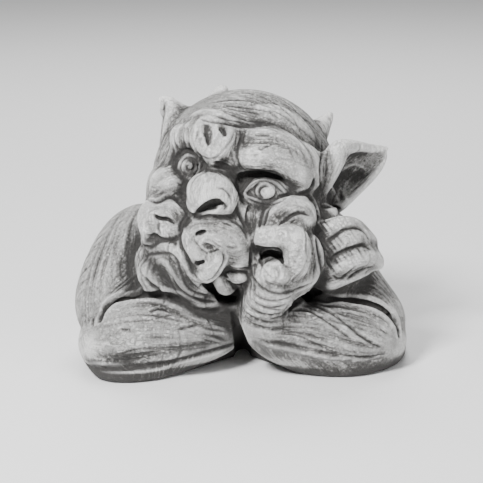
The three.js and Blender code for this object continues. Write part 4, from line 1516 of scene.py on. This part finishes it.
seat_of_grain = part_of("ShaderNodeTexCoord")
wash_left = part_of("ShaderNodeAttribute", attribute_name="wash").outputs["Fac"]
crest_highlight = part_of("ShaderNodeAttribute", attribute_name="worn").outputs["Fac"]
sand = grain_of(scale=1100, detail=3, roughness=0.7)
pores = grain_of(scale=420, detail=4, roughness=0.65)
mottle = grain_of(scale=95, detail=4, roughness=0.6)
cloud = grain_of(scale=18, detail=3, roughness=0.55)
GRAIN_LOW = 0.3
GRAIN_HIGH = 0.7
pore_stain = weighed(pores, GRAIN_LOW, GRAIN_HIGH, to_low=-0.28, to_high=0.32)
mottle_stain = weighed(mottle, GRAIN_LOW, GRAIN_HIGH, to_low=-0.16, to_high=0.2)
cloud_stain = weighed(cloud, GRAIN_LOW, GRAIN_HIGH, to_low=-0.06, to_high=0.1)
stain = added(added(pore_stain, mottle_stain), cloud_stain)
combed = part_of("ShaderNodeAttribute", attribute_name="combed").outputs["Fac"]
SCRATCHES_ACROSS = 0.8
SCRATCHES_ALONG = 0.06
SCRATCH_LOW = 0.34
SCRATCH_HIGH = 0.66
scratch_place = part_of("ShaderNodeCombineXYZ")
for axis, name, rate in ((0, "across", SCRATCHES_ACROSS), (1, "along", SCRATCHES_ALONG)):
    run = part_of("ShaderNodeAttribute", attribute_name=name).outputs["Fac"]
    feed(added(run, rate, "MULTIPLY"), scratch_place, axis)
scratches = part_of("ShaderNodeTexNoise", noise_dimensions="2D")
scratches.inputs["Scale"].default_value = 1
scratches.inputs["Detail"].default_value = 3
scratches.inputs["Roughness"].default_value = 0.6
feed(scratch_place.outputs["Vector"], scratches, "Vector")
scratched = weighed(scratches.outputs["Fac"], SCRATCH_LOW, SCRATCH_HIGH, to_low=0.4, to_high=-0.3)
stain = added(stain, added(scratched, combed, "MULTIPLY"))
# The black wash and painted shade, with the stains, pick the colour from pale to black.
dirt_and_shade = added(wash_left, stain)
tone = part_of("ShaderNodeValToRGB")
PALE_AT = 0.02
STAINED_AT = 0.3
DARK_AT = 0.58
BLACK_AT = 0.92
tone.color_ramp.elements[0].position = PALE_AT
tone.color_ramp.elements[0].color = PALE_STONE
tone.color_ramp.elements[1].position = BLACK_AT
tone.color_ramp.elements[1].color = BLACK_WASH_AND_SHADE
for place, colour in ((STAINED_AT, STAINED_AND_SHADED_STONE), (DARK_AT, DARK_STONE)):
    tone.color_ramp.elements.new(place).color = colour
feed(dirt_and_shade, tone, "Fac")
# Painted highlight: the crests are mixed towards the near-white stone.
EDGE_LIGHT = 0.7
edge_light = added(crest_highlight, EDGE_LIGHT, "MULTIPLY")
colour = tinted(edge_light, tone.outputs["Color"], HIGHLIGHT_STONE)
speck = weighed(sand, low=0.28, high=0.72, to_low=0.62, to_high=1.24)
speck_colour = part_of("ShaderNodeCombineXYZ")
for axis in range(3):
    feed(speck, speck_colour, axis)
colour = tinted(1.0, colour, speck_colour.outputs["Vector"], "MULTIPLY")
shader = mix_of.nodes["Principled BSDF"]
feed(colour, shader, "Base Color")
DRY_ROUGHNESS = 0.92
WASHED_ROUGHNESS = 0.7
feed(weighed(dirt_and_shade, 0, 1, DRY_ROUGHNESS, WASHED_ROUGHNESS), shader, "Roughness")
sand_relief = weighed(sand, GRAIN_LOW, GRAIN_HIGH, to_low=0, to_high=0.35)
pore_relief = weighed(pores, GRAIN_LOW, high=0.62, to_low=0, to_high=0.65)
scratch_relief = weighed(scratches.outputs["Fac"], SCRATCH_LOW, SCRATCH_HIGH, to_low=-0.5, to_high=0.5)
relief = added(added(sand_relief, pore_relief), added(scratch_relief, combed, "MULTIPLY"))
rough_skin = part_of("ShaderNodeBump")
RELIEF_STRENGTH = 0.8
RELIEF_HEIGHT = 0.0007
rough_skin.inputs["Strength"].default_value = RELIEF_STRENGTH
rough_skin.inputs["Distance"].default_value = RELIEF_HEIGHT
feed(relief, rough_skin, "Height")
feed(rough_skin.outputs["Normal"], shader, "Normal")
gargoyle.data.materials.clear()
gargoyle.data.materials.append(stone)

# The studio: a sheet of pale paper for a floor, a soft key light from the upper left, a weak light from
# the right, one behind for the paper, and the camera at the carver's eye.
FLOOR_HALF = 6
PAPER_WHITE = (0.92, 0.92, 0.92, 1)
PAPER_ROUGHNESS = 0.9
AIR_WHITE = (1, 1, 1, 1)
AIR_LIGHT = 0.31
floor_mesh = bmesh.new()
bmesh.ops.create_grid(floor_mesh, x_segments=1, y_segments=1, size=FLOOR_HALF)
floor = finished_piece(floor_mesh, "studio_floor")
paper = bpy.data.materials.new("studio_paper")
paper.use_nodes = True
paper_shader = paper.node_tree.nodes["Principled BSDF"]
paper_shader.inputs["Base Color"].default_value = PAPER_WHITE
paper_shader.inputs["Roughness"].default_value = PAPER_ROUGHNESS
floor.data.materials.append(paper)
world = bpy.data.worlds.new("studio_air")
world.use_nodes = True
air = world.node_tree.nodes["Background"]
air.inputs["Color"].default_value = AIR_WHITE
air.inputs["Strength"].default_value = AIR_LIGHT
bpy.context.scene.world = world


def soft_light(name, place, aim, size, power):
    """A square soft light that points at a place."""
    light = bpy.data.lights.new(name, "AREA")
    light.size = size
    light.energy = power
    lamp = bpy.data.objects.new(name, light)
    lamp.location = place
    lamp.rotation_euler = (Vector(aim) - Vector(place)).to_track_quat("-Z", "Y").to_euler()
    bpy.context.scene.collection.objects.link(lamp)


soft_light("key_light", place=(-0.8, -1.2, 1.4), aim=(0, 0, 0.1), size=0.45, power=62)
soft_light("fill_light", place=(1.2, -1.0, 0.8), aim=(0, 0, 0.1), size=1.2, power=8)
soft_light("backdrop_light", place=(0, 1.5, 2.2), aim=(0, 1.1, 0), size=1.6, power=55)

HALF_VIEW = 241.5
SENSOR = 36
camera_data = bpy.data.cameras.new("camera")
camera_data.sensor_width = SENSOR
camera_data.lens = SENSOR / 2 * EYE_DISTANCE / HALF_VIEW
camera = bpy.data.objects.new("camera", camera_data)
camera.location = (EYE + SET_DOWN) * MM
camera.rotation_euler = (math.pi / 2 - LEAN, 0, 0)
bpy.context.scene.collection.objects.link(camera)
bpy.context.scene.camera = camera
